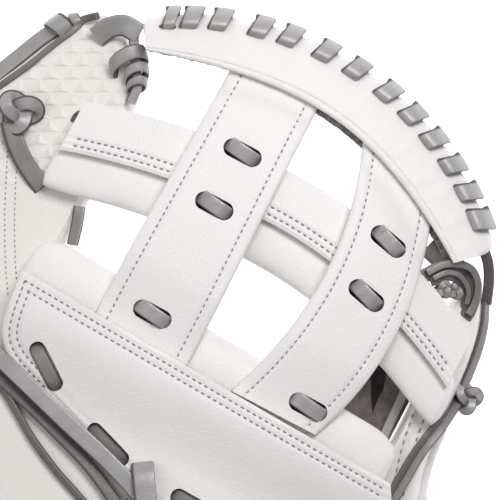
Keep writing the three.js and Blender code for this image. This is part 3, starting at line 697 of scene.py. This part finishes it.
def oval_cutter(x, y, z, turn, long, wide):
    """Upright oval prism that punches one lace slot."""
    bm = bmesh.new()
    bmesh.ops.create_circle(bm, cap_ends=True, segments=36, radius=wide / 2000)
    for vert in bm.verts:
        vert.co.x += math.copysign((long - wide) / 2000, vert.co.x) if abs(vert.co.x) > 1e-7 else 0
    raised = bmesh.ops.extrude_face_region(bm, geom=bm.faces[:])["geom"]
    lifted = [part for part in raised if isinstance(part, bmesh.types.BMVert)]
    bmesh.ops.translate(bm, verts=lifted, vec=(0, 0, cutter_tall))
    bmesh.ops.holes_fill(bm, edges=[edge for edge in bm.edges if edge.is_boundary])
    bmesh.ops.translate(bm, verts=bm.verts, vec=(0, 0, -cutter_tall / 2))
    bmesh.ops.rotate(bm, verts=bm.verts, cent=(0, 0, 0), matrix=Matrix.Rotation(turn, 3, "Z"))
    bmesh.ops.translate(bm, verts=bm.verts, vec=at(x, y, z))
    bmesh.ops.recalc_face_normals(bm, faces=bm.faces)
    mesh = bpy.data.meshes.new("cutter")
    bm.to_mesh(mesh)
    bm.free()
    mesh.materials.append(raw_edge_and_painted_shade)
    cutter = bpy.data.objects.new("cutter", mesh)
    scene.collection.objects.link(cutter)
    return cutter


def punch(piece, cutters):
    """Cuts the slots out of a piece, their walls showing raw leather."""
    for cutter in cutters:
        cut = piece.modifiers.new("slot", "BOOLEAN")
        cut.operation = "DIFFERENCE"
        cut.solver = "MANIFOLD"
        cut.material_mode = "TRANSFER"
        cut.object = cutter
    bpy.context.view_layer.update()
    whole = piece.evaluated_get(bpy.context.evaluated_depsgraph_get())
    mesh = bpy.data.meshes.new_from_object(whole)
    piece.modifiers.clear()
    piece.data = mesh
    mesh.set_sharp_from_angle(angle=sharp_fold)
    for cutter in cutters:
        bpy.data.objects.remove(cutter)


post_stitching = bmesh.new()
for name, (centre, half, slots) in posts.items():
    wide = half(45)
    inset = wide - post_inset
    section = ring([(-wide, 0), (-wide, 4.6), (-inset - 0.7, 5), (-inset, 4.7), (-inset + 0.7, 5),
                    (inset - 0.7, 5), (inset, 4.7), (inset + 0.7, 5), (wide, 4.6), (wide, 0)], 1.1, 1.1)

    def post_place(t, i):
        side, h = section[i]
        guess = centre(90) + side / wide * half(90)
        a = mix(post_foot, math.sqrt(post_reach ** 2 - guess ** 2), t)
        b = centre(a) + side / wide * half(a)
        thick = post_height(*plan(a, b))
        return on_web(a, b, h * thick / post_thick if h < 2 else thick - (post_thick - h))

    piece = make_skin(name + "_leather", 96, len(section), post_place, white_leather, "white_leather", name)
    cutters = []
    for a, b, turn in slots:
        x, y = plan(a, b)
        cutters.append(oval_cutter(x, y, dome(x, y), post_turn + math.radians(turn), slot_long, slot_wide))
    punch(piece, cutters)
    for way in (-1, 1):
        def post_row(t):
            a = mix(post_sewn_from, post_sewn_to, t)
            return plan(a, centre(a) + way * (half(a) - post_inset))

        stitch_row(post_stitching, post_row, post_top)
make("post_stitching", post_stitching, thread_finish, "grey_lace")


# Slot laces: short runs of flat lace, silver grey on the grain side and brown on the cut
# edges, that come up through one end of a slot and go down through the other.
def lace_finish(name, face, edge):
    """Lace whose face is smooth and silvery, by the UV map's way round it, and else raw hide."""
    material, mixer = new_finish(name)
    spot = mixer.node("TexCoord", output=3)
    way = mixer.node("SeparateXYZ", {0: mixer.node("TexCoord", output=2)}, output=1)
    off_face = mixer.sum("ABSOLUTE", way - 0.26)
    skin_side = mixer.node("MapRange", {0: off_face, 1: 0.155, 2: 0.185, 3: 1.0, 4: 0.0},
                           interpolation_type="SMOOTHSTEP")
    pores = mixer.node("TexVoronoi", {"Vector": spot, "Scale": 1300.0}, feature="SMOOTH_F1")
    cracks = mixer.node("TexNoise", {"Vector": spot, "Scale": 420.0, "Detail": 5.0, "Roughness": 0.7})
    clouds = mixer.node("TexNoise", {"Vector": spot, "Scale": 90.0, "Detail": 2.0})
    bright = mixer.blend(clouds, toned(face, 0.72), toned(face, 1.2))
    bright = mixer.blend(cracks * 0.38, bright, toned(face, 0.4))
    rough_side = mixer.blend(cracks, toned(edge, 0.6), toned(edge, 1.6))
    relief = pores * 0.5 + cracks * 0.7
    surface(mixer, {
        "Base Color": mixer.blend(skin_side, rough_side, bright),
        "Roughness": 0.85 - skin_side * 0.42,
        "Metallic": skin_side * 0.25,
        "Normal": mixer.node("Bump", {"Strength": 0.4, "Distance": 0.0003, "Height": relief}),
    })
    return material


grey_lace = lace_finish("grey_lace", (0.445, 0.435, 0.43), (0.11, 0.094, 0.092))
# A copy of the grey lace painted darker, as painted shade, for the panel's slot laces, the finger knot's
# tail, the crossbar lace and the thumb's laces.
painted_shade_lace = lace_finish("painted_shade_lace", (0.29, 0.275, 0.268), (0.10, 0.086, 0.084))
# Dark lace: the dark laces at the panel's edge and the finger's tip, and also the painted shade and shadow in
# the dark laces along the thumb's laces.
dark_lace = lace_finish("dark_lace", (0.185, 0.168, 0.165), (0.115, 0.098, 0.096))


def lace_section(width, thick):
    """Section of a flat lace from its left edge: crowned face, right edge, flat underside."""
    w, h = width / 2, thick / 2
    return ring([(-w, 0), (-w + 0.15, h * 0.9), (-w * 0.4, h), (w * 0.4, h), (w - 0.15, h * 0.9), (w, 0),
                 (w - 0.15, -h * 0.9), (0, -h), (-w + 0.15, -h * 0.9)], thick * 0.35, width / 9)


def lace(bm, stations, along, width=5.5, thick=1.5):
    """Flat lace swept through stations (x, y, z, lean in degrees), in plan millimetres."""
    centre = through([station[:3] for station in stations])
    leans = [station[3] if len(station) > 3 else 0 for station in stations]
    section = lace_section(width, thick)

    def place(t, i):
        spot = centre(t)
        ahead = (centre(t + 0.01) - centre(t - 0.01)).normalized()
        reach = min(t, 0.9999) * (len(leans) - 1)
        lean = math.radians(mix(leans[int(reach)], leans[int(reach) + 1], reach % 1))
        side = ahead.cross(Vector((0, 0, 1))).normalized()
        side.rotate(Matrix.Rotation(lean, 3, ahead))
        up = side.cross(ahead).normalized()
        s, h = section[i]
        return at(*(spot + side * s + up * h))

    skin(bm, along, len(section), place)


def slot_run(bm, x, y, turn, reach, height, width):
    """One lace across a slot: height(x, y, k) gives its level at a share k of the way out."""
    stations = []
    for k in (-1, -0.8, -0.45, 0, 0.45, 0.8, 1):
        px, py = x + k * reach * math.cos(turn), y + k * reach * math.sin(turn)
        stations.append((px, py, height(px, py, k)))
    lace(bm, stations, 26, width)


def shade_disc(bm, spot, turn, long, wide, thick, segments):
    """Flat oval disc in a slot or a hole: painted shade, as dark as the depth of a real one."""
    place = Matrix.Translation(spot) @ Matrix.Rotation(turn, 4, "Z")
    place = place @ Matrix.Diagonal((long / 1000, wide / 1000, thick / 1000, 1))
    bmesh.ops.create_uvsphere(bm, u_segments=segments, v_segments=6, radius=0.5, matrix=place)


bm = new_bmesh()
depths = bmesh.new()
for centre, half, slots in posts.values():
    for a, b, turn in slots:
        x, y = plan(a, b)
        level = post_height(x, y) / post_thick
        heading = post_turn + math.radians(turn)
        slot_run(bm, x, y, heading - math.radians(7), slot_long / 2 - 0.2,
                 lambda x, y, k: dome(x, y) + mix(5.8, 0.2, abs(k) ** 4) * level, slot_wide - 0.8)
        # Painted shade: a dark disc in the slot, where its depth would be.
        depth = at(x, y, dome(x, y) + 0.7 * level)
        shade_disc(depths, depth, heading, slot_long + 2, slot_wide + 1.8, 0.6, 20)
make("slot_depths", depths, raw_edge_and_painted_shade, "dark_lace")
slot_nodes = [f"{name}_lace_{n}" for name in posts for n in (1, 2, 3)]
make("post_slot_laces", bm, grey_lace, "grey_lace", *slot_nodes)


# Web panel: the fan-shaped hide at the web's foot, folded at its edges and sewn with two rows,
# that lies over the posts' feet and the base roll and runs down into the crotch.
panel_left = through([
    (-51.5, 21.3), (-57.0, -2.0), (-40.5, -22.5), (-23.5, -39.8), (-6.0, -62.0), (13.4, -92.0)])
panel_right = through([
    (65.8, -46.8), (66.0, -57.0), (63.0, -68.0), (56.5, -79.0), (46.0, -89.0), (31.0, -97.0)])
panel_slots = ((-43.2, -9.5, 117, 17, 5.6), (-23.5, -34.0, 134, 17, 5.0), (3.0, -53.0, 150, 15, 5.6))
panel_thick = 3
panel_around, margin_points = 140, 0.24
panel_rows = (2.4, 4.8)


def panel_upper_edge(t):
    return panel_left(0).lerp(panel_right(0), t)


panel_edge = [panel_left(1 - n / 60) for n in range(61)] + [panel_upper_edge(n / 60) for n in range(1, 61)]


def panel_base(x, y):
    return dome(x, y) + mix(-2.7, 2.3, smooth(web_a(x, y), -38, -14))


def panel_top(x, y):
    """Top of the panel's hide: grooves along its rows, a rounded edge and a soft swell inside."""
    gap = near_seam(x, y, [panel_edge])
    groove = 0.28 * sum(math.exp(-((gap - row) / 0.75) ** 2) for row in panel_rows)
    edge_fall = 0.8 * (1 - bulge(min(gap, 2), 2))
    swell = 0.35 * noise.noise(Vector((x, y, 3)) * 0.06) * smooth(gap, 6, 16)
    return panel_base(x, y) + panel_thick - groove - edge_fall + swell


def panel_place(t, i):
    over, s = across(i, panel_around)
    left, right = panel_left(t), panel_right(t)
    width = (right - left).length
    margin = min(0.4, 9 / width)
    if s < margin_points:
        share = s / margin_points * margin
    else:
        share = mix(margin, 1, (s - margin_points) / (1 - margin_points))
    spot = left.lerp(right, share)
    height = panel_base(spot.x, spot.y)
    if over:
        edge = min(share, 1 - share) * width
        height = panel_top(spot.x, spot.y) - 0.8 * (1 - bulge(min(edge, 1.5), 1.5))
    return at(spot.x, spot.y, height)


panel = make_skin("web_panel_leather", 130, panel_around, panel_place, white_leather, "white_leather",
                  "web_panel")
punch(panel, [oval_cutter(x, y, panel_base(x, y), math.radians(turn), long, wide)
              for x, y, turn, long, wide in panel_slots])
bm = bmesh.new()
for row in panel_rows:
    for line, first, last in (
        (beside(panel_left, row), row / 120, 0.36), (beside(panel_upper_edge, -row), row / 135, 0.99)
    ):
        stitch_row(bm, lambda t: line(mix(first, last, t)), lambda x, y: panel_top(x, y) + 0.05)
make("panel_stitching", bm, thread_finish, "grey_lace")
bm = new_bmesh()
for x, y, turn, long, wide in panel_slots:
    slot_run(bm, x, y, math.radians(turn), long / 2 - 0.6,
             lambda x, y, k: panel_base(x, y) + mix(2.5, 0.2, abs(k) ** 3), wide - 1.1)
make("panel_slot_laces", bm, painted_shade_lace, "grey_lace", "panel_lace_1", "panel_lace_2", "panel_lace_3")


# Top band: the web's curved upper edge. A core of raw hides shows its brown edges below, and a
# smooth white binding is folded over it.
band_from, band_to = 97.6, 15
band_radius, band_fixed = 84.5, 13.5
wrap_angles = (92.0, 88.2, 83.0, 75.6, 70.0, 63.0, 56.6, 49.6, 43.6, 37.8, 32.0, 26.4, 21.0)


def band_inner(angle):
    """Radius of the band's inner edge, which widens towards both ends."""
    return band_radius + 8 * abs((angle - 53) / 45) ** 3


def on_ring(angle, r, h):
    x, y = r * math.cos(math.radians(angle)), r * math.sin(math.radians(angle))
    return at(x, y, dome(x, y) + h)


band_section = ring([
    (0, 2.5), (0, 3.9), (0.9, 4.5), (1.9, 4.6), (2.3, 4.25), (2.7, 4.65), (band_fixed, 4.7), (18.1, 3.2),
    (19.7, -0.4), (18.1, -4), (band_fixed, -5.6), (2, -5.6), (2, -3.7), (14, -3.7), (16.9, -1.5),
    (16.9, 0.8), (14, 2.5)], 1.0, 0.8)


def pinch(angle):
    """How tightly a lace pulls the binding's edge in there, from 0 to 1."""
    return max(math.exp(-((angle - tied) / 1.5) ** 2) for tied in wrap_angles)


def band_place(t, i):
    angle = mix(band_from, band_to, t)
    out, h = band_section[i]
    drawn = pinch(angle)
    if out < band_fixed:
        r = mix(band_inner(angle), band_radius + band_fixed, out / band_fixed)
    else:
        end_round = 3.5 * (1 - bulge(min(t, 1 - t) * 140, 5)) * smooth(out, 12, 18)
        r = band_radius + out - 1.5 * drawn * smooth(out, 14, 19) - end_round
    crinkle = 0.18 * noise.noise(Vector((angle * 0.5, r * 0.3, h)))
    return on_ring(angle, r, h * (1 - 0.12 * drawn * smooth(out, 11, 16)) + crinkle)


make_skin("band_binding", 150, len(band_section), band_place, white_leather, "white_leather", "top_band")
core_wide = 12
core_section = ring([(0, -3.3), (0.5, -2.4), (0, -1.9), (0.4, -1.3), (0, -0.4), (core_wide, -0.4),
                     (core_wide, -3.3)], 0.3, 1.5)


def core_place(t, i):
    angle = mix(band_from - 0.6, band_to + 1.5, t)
    out, h = core_section[i]
    bare = max(smooth(angle, 43, 47) * (1 - smooth(angle, 60, 63)), 1 - smooth(angle, 27, 31))
    inner = band_inner(angle) + mix(0.1, -1.7, bare) + 0.5 * noise.noise(Vector((angle * 0.9, 0, h * 2)))
    return on_ring(angle, mix(inner, band_radius + 13.3, out / core_wide), h)


core_hide = raw_hide("core_hide", (0.14, 0.12, 0.12), (0.47, 0.42, 0.42), 800.0)
make_skin("band_core_hides", 150, len(core_section), core_place, core_hide, "grey_lace", "band_core")


# Band laces: the flat lace whipped over the binding, through a punched hole each time. Each hole, and the
# hole at the end of the crossbar's flap, is a dark disc of painted shade, made here with the others.
wrap_route = through([(99.2, 3.0), (99.6, 5.0), (100.9, 5.9), (103.8, 4.8), (105.9, -0.2), (103.6, -5.2),
                      (99.5, -6.7), (97.5, -6.2)])
end_wrap_widths = {wrap_angles[0]: 4.4, wrap_angles[-1]: 7.4}
hole_radius = 99.3


def wrap(bm, angle):
    """One turn of lace over the binding, at an angle round the web."""
    section = lace_section(end_wrap_widths.get(angle, 6.1), 1.5)

    def place(t, i):
        r, h = wrap_route(t)
        ahead = (wrap_route(t + 0.01) - wrap_route(t - 0.01)).normalized()
        out = Vector((-ahead.y, ahead.x))
        side, lift = section[i]
        slip = 0.36 * (104.2 - r) * (1 if h > 0 else -0.4)
        narrow = 0.3 + 0.7 * bulge(t, 0.16)
        spot = Vector((r, h)) + out * lift
        return on_ring(angle + math.degrees((side * narrow + slip) / r), spot.x, spot.y)

    skin(bm, 34, len(section), place)


bm = new_bmesh()
for angle in wrap_angles:
    wrap(bm, angle)
make("band_laces", bm, grey_lace, "grey_lace", *(f"band_lace_{n}" for n in range(1, 14)))
# Painted shade: dark discs at the band's lace holes and at the flap's hole.
bm = bmesh.new()
for angle in wrap_angles:
    hole = on_ring(angle + math.degrees(1.9 / hole_radius), hole_radius, 4.3)
    shade_disc(bm, hole, math.radians(angle), 2.6, 5.8, 0.6, 14)
flap_hole = at(-35.0, 69.6, back_top(-35.0, 69.6, "finger") - 0.05)
shade_disc(bm, flap_hole, math.radians(60), 6.2, 3.0, 0.8, 18)
make("lace_holes", bm, raw_edge_and_painted_shade, "dark_lace")


# Rim laces: one flat lace along each flank that joins the palm to the back leather, running in
# and out of the hide away from the web. Near the finger's tip a short lace and two dark strands
# lead to the knot on the rim.
def flank_spot(place, turn, out):
    """Station of a lace on the rim's flank, turned up from its widest line by degrees."""
    start, end, width, rounding, inner = cross_line(place)
    inward = (end - start).normalized()
    edge = start + inward * rounding
    top, _ = palm_heights(place, edge.x, edge.y, rounding, width, rounding, inner)
    level = widest_share * top
    angle = math.radians(turn)
    spot = start + inward * (rounding * (1 - math.cos(angle)) - out * math.cos(angle))
    return spot.x, spot.y, level + (top - level + out) * math.sin(angle), turn - 90


def on_leather(place, inward, lift):
    """Point on top of the back leather, a distance in from the rim at a place."""
    start, end, width, rounding, inner = cross_line(place)
    spot = start.lerp(end, inward / width)
    top, _ = palm_heights(place, spot.x, spot.y, max(0.5, inward), width, rounding, inner)
    return spot.x, spot.y, top + under_leather + lift


dash_pitch = 0.5
bm = new_bmesh()
for first, last in ((wrist_left + 0.5, last_place - 1.4), (1, wrist_right - 0.5)):
    count = round((last - first) * 16)
    stations = []
    for n in range(count + 1):
        place = mix(first, last, n / count)
        by_web = max(1 - smooth(place, 4.4, 4.9), smooth(place, 18.4, 18.9))
        sunk = 2.4 * smooth(math.cos(2 * math.pi * place / dash_pitch), 0.45, 0.95) * (1 - by_web)
        stations.append(flank_spot(place, mix(-38, 8, smooth(place, 4.4, 5.6)), 0.8 - sunk))
    lace(bm, stations, count * 3)
lace(bm, [(*on_leather(*spot), -22) for spot in (
    (19.4, 1.5, 0.2), (19.75, 0, 0.9), (20.2, -0.5, 1.0), (20.6, -0.6, 1.0), (20.85, -0.4, 1.4),
    (21.1, 0.4, 0.8))], 50)
make("rim_laces", bm, grey_lace, "grey_lace", "rim_lace_finger", "rim_lace_thumb")
bm = new_bmesh()
lace(bm, [on_leather(place, inward, 0.6) for place, inward in (
    (19.6, 5.2), (20.1, 5.4), (20.5, 5.0), (20.9, 4.4), (21.15, 3.2), (21.3, 2.0))], 50, 2.3, 1.8)
lace(bm, [on_leather(*spot) for spot in (
    (21.1, 2.0, 1.6), (21.35, 1.2, 1.9), (21.6, 1.0, 1.9), (21.85, 1.4, 1.6))], 30, 2.6, 2.0)
make("rim_dark_strands", bm, dark_lace, "dark_lace")


# Rim welt: a narrow piping of folded white leather, sewn in where the back leather meets the
# pad, with one row of stitches beside it.
bm = new_bmesh()
sewn = bmesh.new()
for first, last, sewn_first, sewn_last in ((3.0, 7.8, 4.6, 7.7), (12.3, 19.4, 12.5, 18.4)):
    count = round((last - first) * 10)
    places = [mix(first, last, n / count) for n in range(count + 1)]
    lace(bm, [flank_spot(place, 34, 0.5) for place in places], count * 3, 2.8, 2.6)

    def beside_welt(t):
        start, end, width, rounding, inner = cross_line(mix(sewn_first, sewn_last, t))
        return start.lerp(end, (rounding + 2.5) / width)

    stitch_row(sewn, beside_welt, lambda x, y: back(x, y) - 0.15, 3.4, 2.1, 0.7)
make("rim_welt", bm, white_leather, "white_leather")
make("rim_stitching", sewn, thread_finish, "grey_lace")


# Loose laces on the back: the finger tip's loop and web lace, the tail of its knot, the lace at
# the crossbar's end, and the light and dark laces along the panel's edge. Each is one or two
# strands of (route, steps, width, thickness), with heights over the back leather.
loose_laces = {
    "finger_tip_loop": [
        (((-28.6, 96.4, 2.0, 12), (-24.6, 99.3, 4.4, 20), (-19.6, 100.1, 5.6, 18), (-14.6, 97.2, 5.6, 6)),
         50, 7.2, 1.5)],
    "finger_web_lace": [
        (((-16.4, 98.2, 3.0), (-16.2, 92.0, 3.4), (-15.4, 85.0, 3.2), (-15.2, 80.0, 2.8), (-17.4, 74.8, 1.0)),
         50, 3.4, 3.0)],
    "finger_knot_tail": [
        (((-56.4, 69.0, 2.6), (-54.8, 63.0, 1.9), (-51.6, 56.0, 1.6, 10), (-48.0, 50.6, 1.6, 18),
          (-45.6, 47.4, 1.2, 26)), 50, 6.4, 1.5)],
    "crossbar_lace": [
        (((-33.4, 41.2, 1.1), (-34.2, 35.5, 1.2, 15), (-35.6, 29.0, 1.0, 30)), 50, 4, 1.5)],
    "panel_lace_light": [
        (((-61.5, -4.4, 1.7), (-55.0, -9.8, 5.8), (-38.0, -25.7, 5.6), (-22.0, -40.6, 5.6),
          (-13.0, -51.0, 5.6), (-10.5, -58.0, 5.6)), 50, 5.5, 1.5),
        (((-12.6, -40.0, 3.6), (-12.3, -43.0, 7.4), (-11.6, -50.0, 7.8), (-10.8, -57.0, 7.2),
          (-10.2, -61.0, 4.2)), 40, 7.2, 1.5)],
    "panel_lace_dark": [
        (((-61.0, -11.2, 1.4, -10), (-52.5, -18.4, 1.8, -15), (-39.0, -31.2, 1.8, -15),
          (-28.8, -41.8, 1.8, -15), (-19.6, -54.6, 1.6, -10)), 50, 4, 1.5),
        (((-60.5, -13.6, 1.3, 25), (-56.4, -17.8, 1.3, 25), (-52.2, -24.6, 1.3, 25), (-47.8, -32.0, 1.3, 25),
          (-40.6, -41.6, 1.3, 25), (-32.2, -51.0, 1.3, 25), (-24.0, -61.0, 1.3, 25)), 50, 2.6, 1.6)],
}
# The laces given the darker copy of the grey lace carry painted shade in their colour.
lace_tones = {"panel_lace_dark": dark_lace, "finger_knot_tail": painted_shade_lace, "crossbar_lace": painted_shade_lace}
web_lace_turns = (
    (-18.0, 88.2, 106, 5.8, 4.0, 4.8, 2.4), (-15.4, 84.2, 94, 3.4, 3.4, 3.6, 2.2),
    (-15.2, 80.6, 82, 2.5, 3.0, 3.0, 1.6),
)


def turned_lace(bm, centre, heading, wide, high, width, bowed=0):
    """One full turn of lace round a strand that runs in that heading, in degrees."""
    section = lace_section(width, 1.5)
    axis = Vector((math.cos(math.radians(heading)), math.sin(math.radians(heading)), 0))
    aside = Vector((axis.y, -axis.x, 0))

    def place(t, i):
        along, out = section[i]
        turn = 2 * math.pi * t
        spot = aside * (wide + out) * math.cos(turn) + Vector((0, 0, high + out)) * math.sin(turn)
        forward = along + 0.9 * math.cos(turn) + bowed * math.sin(turn)
        return at(*(Vector(centre) + spot + axis * forward))

    skin(bm, 40, len(section), place)


for name, strands in loose_laces.items():
    bm = new_bmesh()
    for route, steps, width, thick in strands:
        lace(bm, [(x, y, back(x, y) + h, *lean) for x, y, h, *lean in route], steps, width, thick)
    if name == "finger_web_lace":
        for x, y, heading, wide, high, width, bowed in web_lace_turns:
            turned_lace(bm, (x, y, back(x, y) + 3.0), heading, wide, high, width, bowed)
    slot = "dark_lace" if name == "panel_lace_dark" else "grey_lace"
    make(name + "_strand", bm, lace_tones.get(name, grey_lace), slot, name)


# Thumb laces: a lace runs along the thumb's flank to a knot and on down its back, and two thin ones arch over
# its tip. Beside or beneath each lies a darker lace of painted shade and shadow: its shaded side, and the
# shadow under it.
def thumb_strand(aside):
    """Stations of the lace down the thumb's back, moved aside."""
    stations = []
    for place, share, lift in (
        (2.35, 0.05, 1.6), (2.65, 0.10, 1.4), (3.0, 0.18, 0.9), (3.45, 0.3, 0.5),
        (3.85, 0.38, 0.2), (4.3, 0.46, 0), (5.0, 0.55, 0), (5.5, 0.58, 0),
    ):
        x, y, z = on_leather(place, share * cross_line(place)[2], 1.0 + lift)
        stations.append((x + 0.8 * aside, y - 0.6 * aside, z, 20 if aside > 0 else -20))
    return stations


def arch(points, x_shift=0, y_shift=0, sunk=0):
    """Stations of a lace over the thumb's tip, moved aside and down by the shifts."""
    return [(x + x_shift, y + y_shift, over(x, y) + h - sunk) for x, y, over, h in points]


outer_arch = (
    (77.9, 20.0, dome, 1.0), (83.3, 22.6, dome, 1.6), (88.7, 22.7, dome, 0.6), (92.6, 21.0, back, 8.0),
    (94.4, 17.6, back, 7.0), (94.6, 13.5, back, 5.0), (93.2, 9.2, back, 2.6), (91.6, 6.6, back, 1.6))
inner_arch = (
    (79.8, 18.2, dome, 1.2), (84.0, 20.0, dome, 1.0), (88.0, 19.4, back, 8.0), (90.6, 16.6, back, 6.0),
    (91.6, 13.4, back, 4.0), (91.2, 10.2, back, 2.0))
bm = new_bmesh()
lace(bm, [flank_spot(*spot) for spot in (
    (0.15, 34, 1.7), (0.8, 42, 1.6), (1.25, 43, 1.35), (1.75, 46, 1.35), (2.1, 50, 1.6))], 50, 3.6)
lace(bm, thumb_strand(1.2), 50, 2.6)
lace(bm, arch(outer_arch), 80, 2.5, 2.0)
lace(bm, arch(inner_arch), 60, 2.0, 1.8)
make("thumb_laces", bm, painted_shade_lace, "grey_lace", "thumb_lace_upper", "thumb_lace_lower", "thumb_arch")
# Painted shade and shadow: darker laces beside the thumb's lace and knot strand, under both arches, and by
# the thumb's tip and edge.
bm = new_bmesh()
lace(bm, thumb_strand(-1.2), 50, 2.2)
lace(bm, arch(outer_arch, -1.2, -1.2, 1.5), 80, 4.6, 1.2)
lace(bm, arch(inner_arch, -0.6, -1.2, 1.2), 60, 3.0, 1.2)
lace(bm, [(78.5, 28.5, dome(78.5, 28.5) - 4.5), (82.0, 25.2, dome(82, 25) - 3),
          (86.5, 22.4, dome(86.5, 22) - 1.6), (90.0, 18.5, back(90, 18.5) + 2)], 40, 7)
lace(bm, [(96.4, 28.2, 39), (98.0, 23.5, 38), (98.6, 18.0, 34.5), (98.2, 10.0, 27)], 40, 3.6, 1.6)
lace(bm, [flank_spot(*spot) for spot in (
    (0.1, 8, 1.6), (0.8, 16, 1.4), (1.3, 22, 1.3), (1.9, 32, 1.3))], 40, 2.8)
make("thumb_painted_shadow_laces", bm, dark_lace, "dark_lace")


# Thumb gusset: the brown hide under the web that closes the corner between the right post and the thumb, its
# suede side up; its dark brown is partly the suede's own colour and partly painted shade. It has a slit cut
# in it, shown as a near-black strip of painted shade, and a strip of lace as its hem.
gusset_section = ring([(53, -22), (74.4, -19), (74.4, -20.6), (53, -23.6)], 0.4, 1.2)
slit_line = through([(61.6, -26.4), (62.0, -21.6), (62.5, -16.5), (63.2, -9.0)])
slit_section = ((-0.5, 0), (-0.5, 0.35), (0.5, 0.35), (0.5, 0))


def gusset_place(t, i):
    b, h = gusset_section[i]
    ripple = 0.3 * noise.noise(Vector((t * 3, b * 0.2, 5)))
    return on_web(mix(-1, 24, t), b, h + ripple)


# Dark brown: partly the suede's own colour, partly painted shade of the corner under the web.
suede = raw_hide("brown_suede_and_painted_shade", (0.115, 0.098, 0.094), (0.185, 0.162, 0.156), 350.0)
make_skin("thumb_gusset_hide", 30, len(gusset_section), gusset_place, suede, "dark_lace", "thumb_gusset")


def slit_place(t, i):
    spot = slit_line(t)
    wide = mix(0.3, 5.2, math.sqrt(t))
    side, lift = slit_section[i]
    x, y = spot.x + side * wide, spot.y + 0.2 * side * wide
    return at(x, y, dome(x, y) - 20.6 + lift)


# Painted shade: the slit is a near-black strip where its depth would be.
slit_shade = raw_hide("slit_shade", (0.006, 0.005, 0.005), (0.02, 0.017, 0.017))
make_skin("gusset_slit", 24, len(slit_section), slit_place, slit_shade, "dark_lace")
bm = new_bmesh()
lace(bm, [(71.6, -16.0, dome(71.6, -16) - 17.5), (69.6, -21.0, dome(69.6, -21) - 17.8),
          (66.6, -27.5, dome(66.6, -27.5) - 18.2), (64.0, -33.0, dome(64, -33) - 18.6)], 30, 3.4, 1.4)
make("gusset_hem", bm, grey_lace, "grey_lace")


# Knots: lace ends passed round themselves and pulled tight, at the finger's and the thumb's
# laces and at the panel's foot. The knot on the rim is two full turns of lace.
def knot(bm, x, y, z, length, width, height, turn, full=0.34):
    """Overhand knot of flat lace that fills a lump of that size."""
    section = lace_section(min(length, width) * full, height * 0.26)
    heading = Matrix.Rotation(math.radians(turn), 3, "Z")

    def line(t):
        u = 2 * math.pi * t
        right, ahead = math.sin(u) + 2 * math.sin(2 * u), math.cos(u) - 2 * math.cos(2 * u)
        return Vector((right / 3 * length * 0.40, ahead / 3 * width * 0.40, -math.sin(3 * u) * height * 0.32))

    def place(t, i):
        spot, ahead = line(t), (line(t + 0.01) - line(t - 0.01)).normalized()
        side = ahead.cross(Vector((0, 0, 1))).normalized()
        s, h = section[i]
        return at(*(Vector((x, y, z)) + heading @ (spot + side * s + side.cross(ahead) * h)))

    skin(bm, 90, len(section), place)


bm = new_bmesh()
knot(bm, -53, 72, back(-53, 72) + 4, 15, 14, 7, -20)
turned_lace(bm, on_leather(20.9, 0.6, 0.4), 36, 4.2, 3.8, 6.6, 0.8)
turned_lace(bm, on_leather(21.25, 1.0, 0.6), 10, 2.4, 3.2, 3.6)
knot(bm, *flank_spot(2.25, 42, 4.8)[:3], 11, 9, 8, 100)
knot(bm, -9.5, -64, back(-9.5, -64) + 4.6, 11, 9, 7, -40)
for x, y in ((83.2, 14.6), (87.2, 14.2)):
    knot(bm, x, y, back(x, y) + (8 if x < 85 else 3.6), 5.4, 5, 5, 40, 0.5)
make("lace_knots", bm, grey_lace, "grey_lace", "finger_knot", "rim_knot", "thumb_knot", "panel_knot",
     "thumb_end_knot")


bpy.context.view_layer.update()
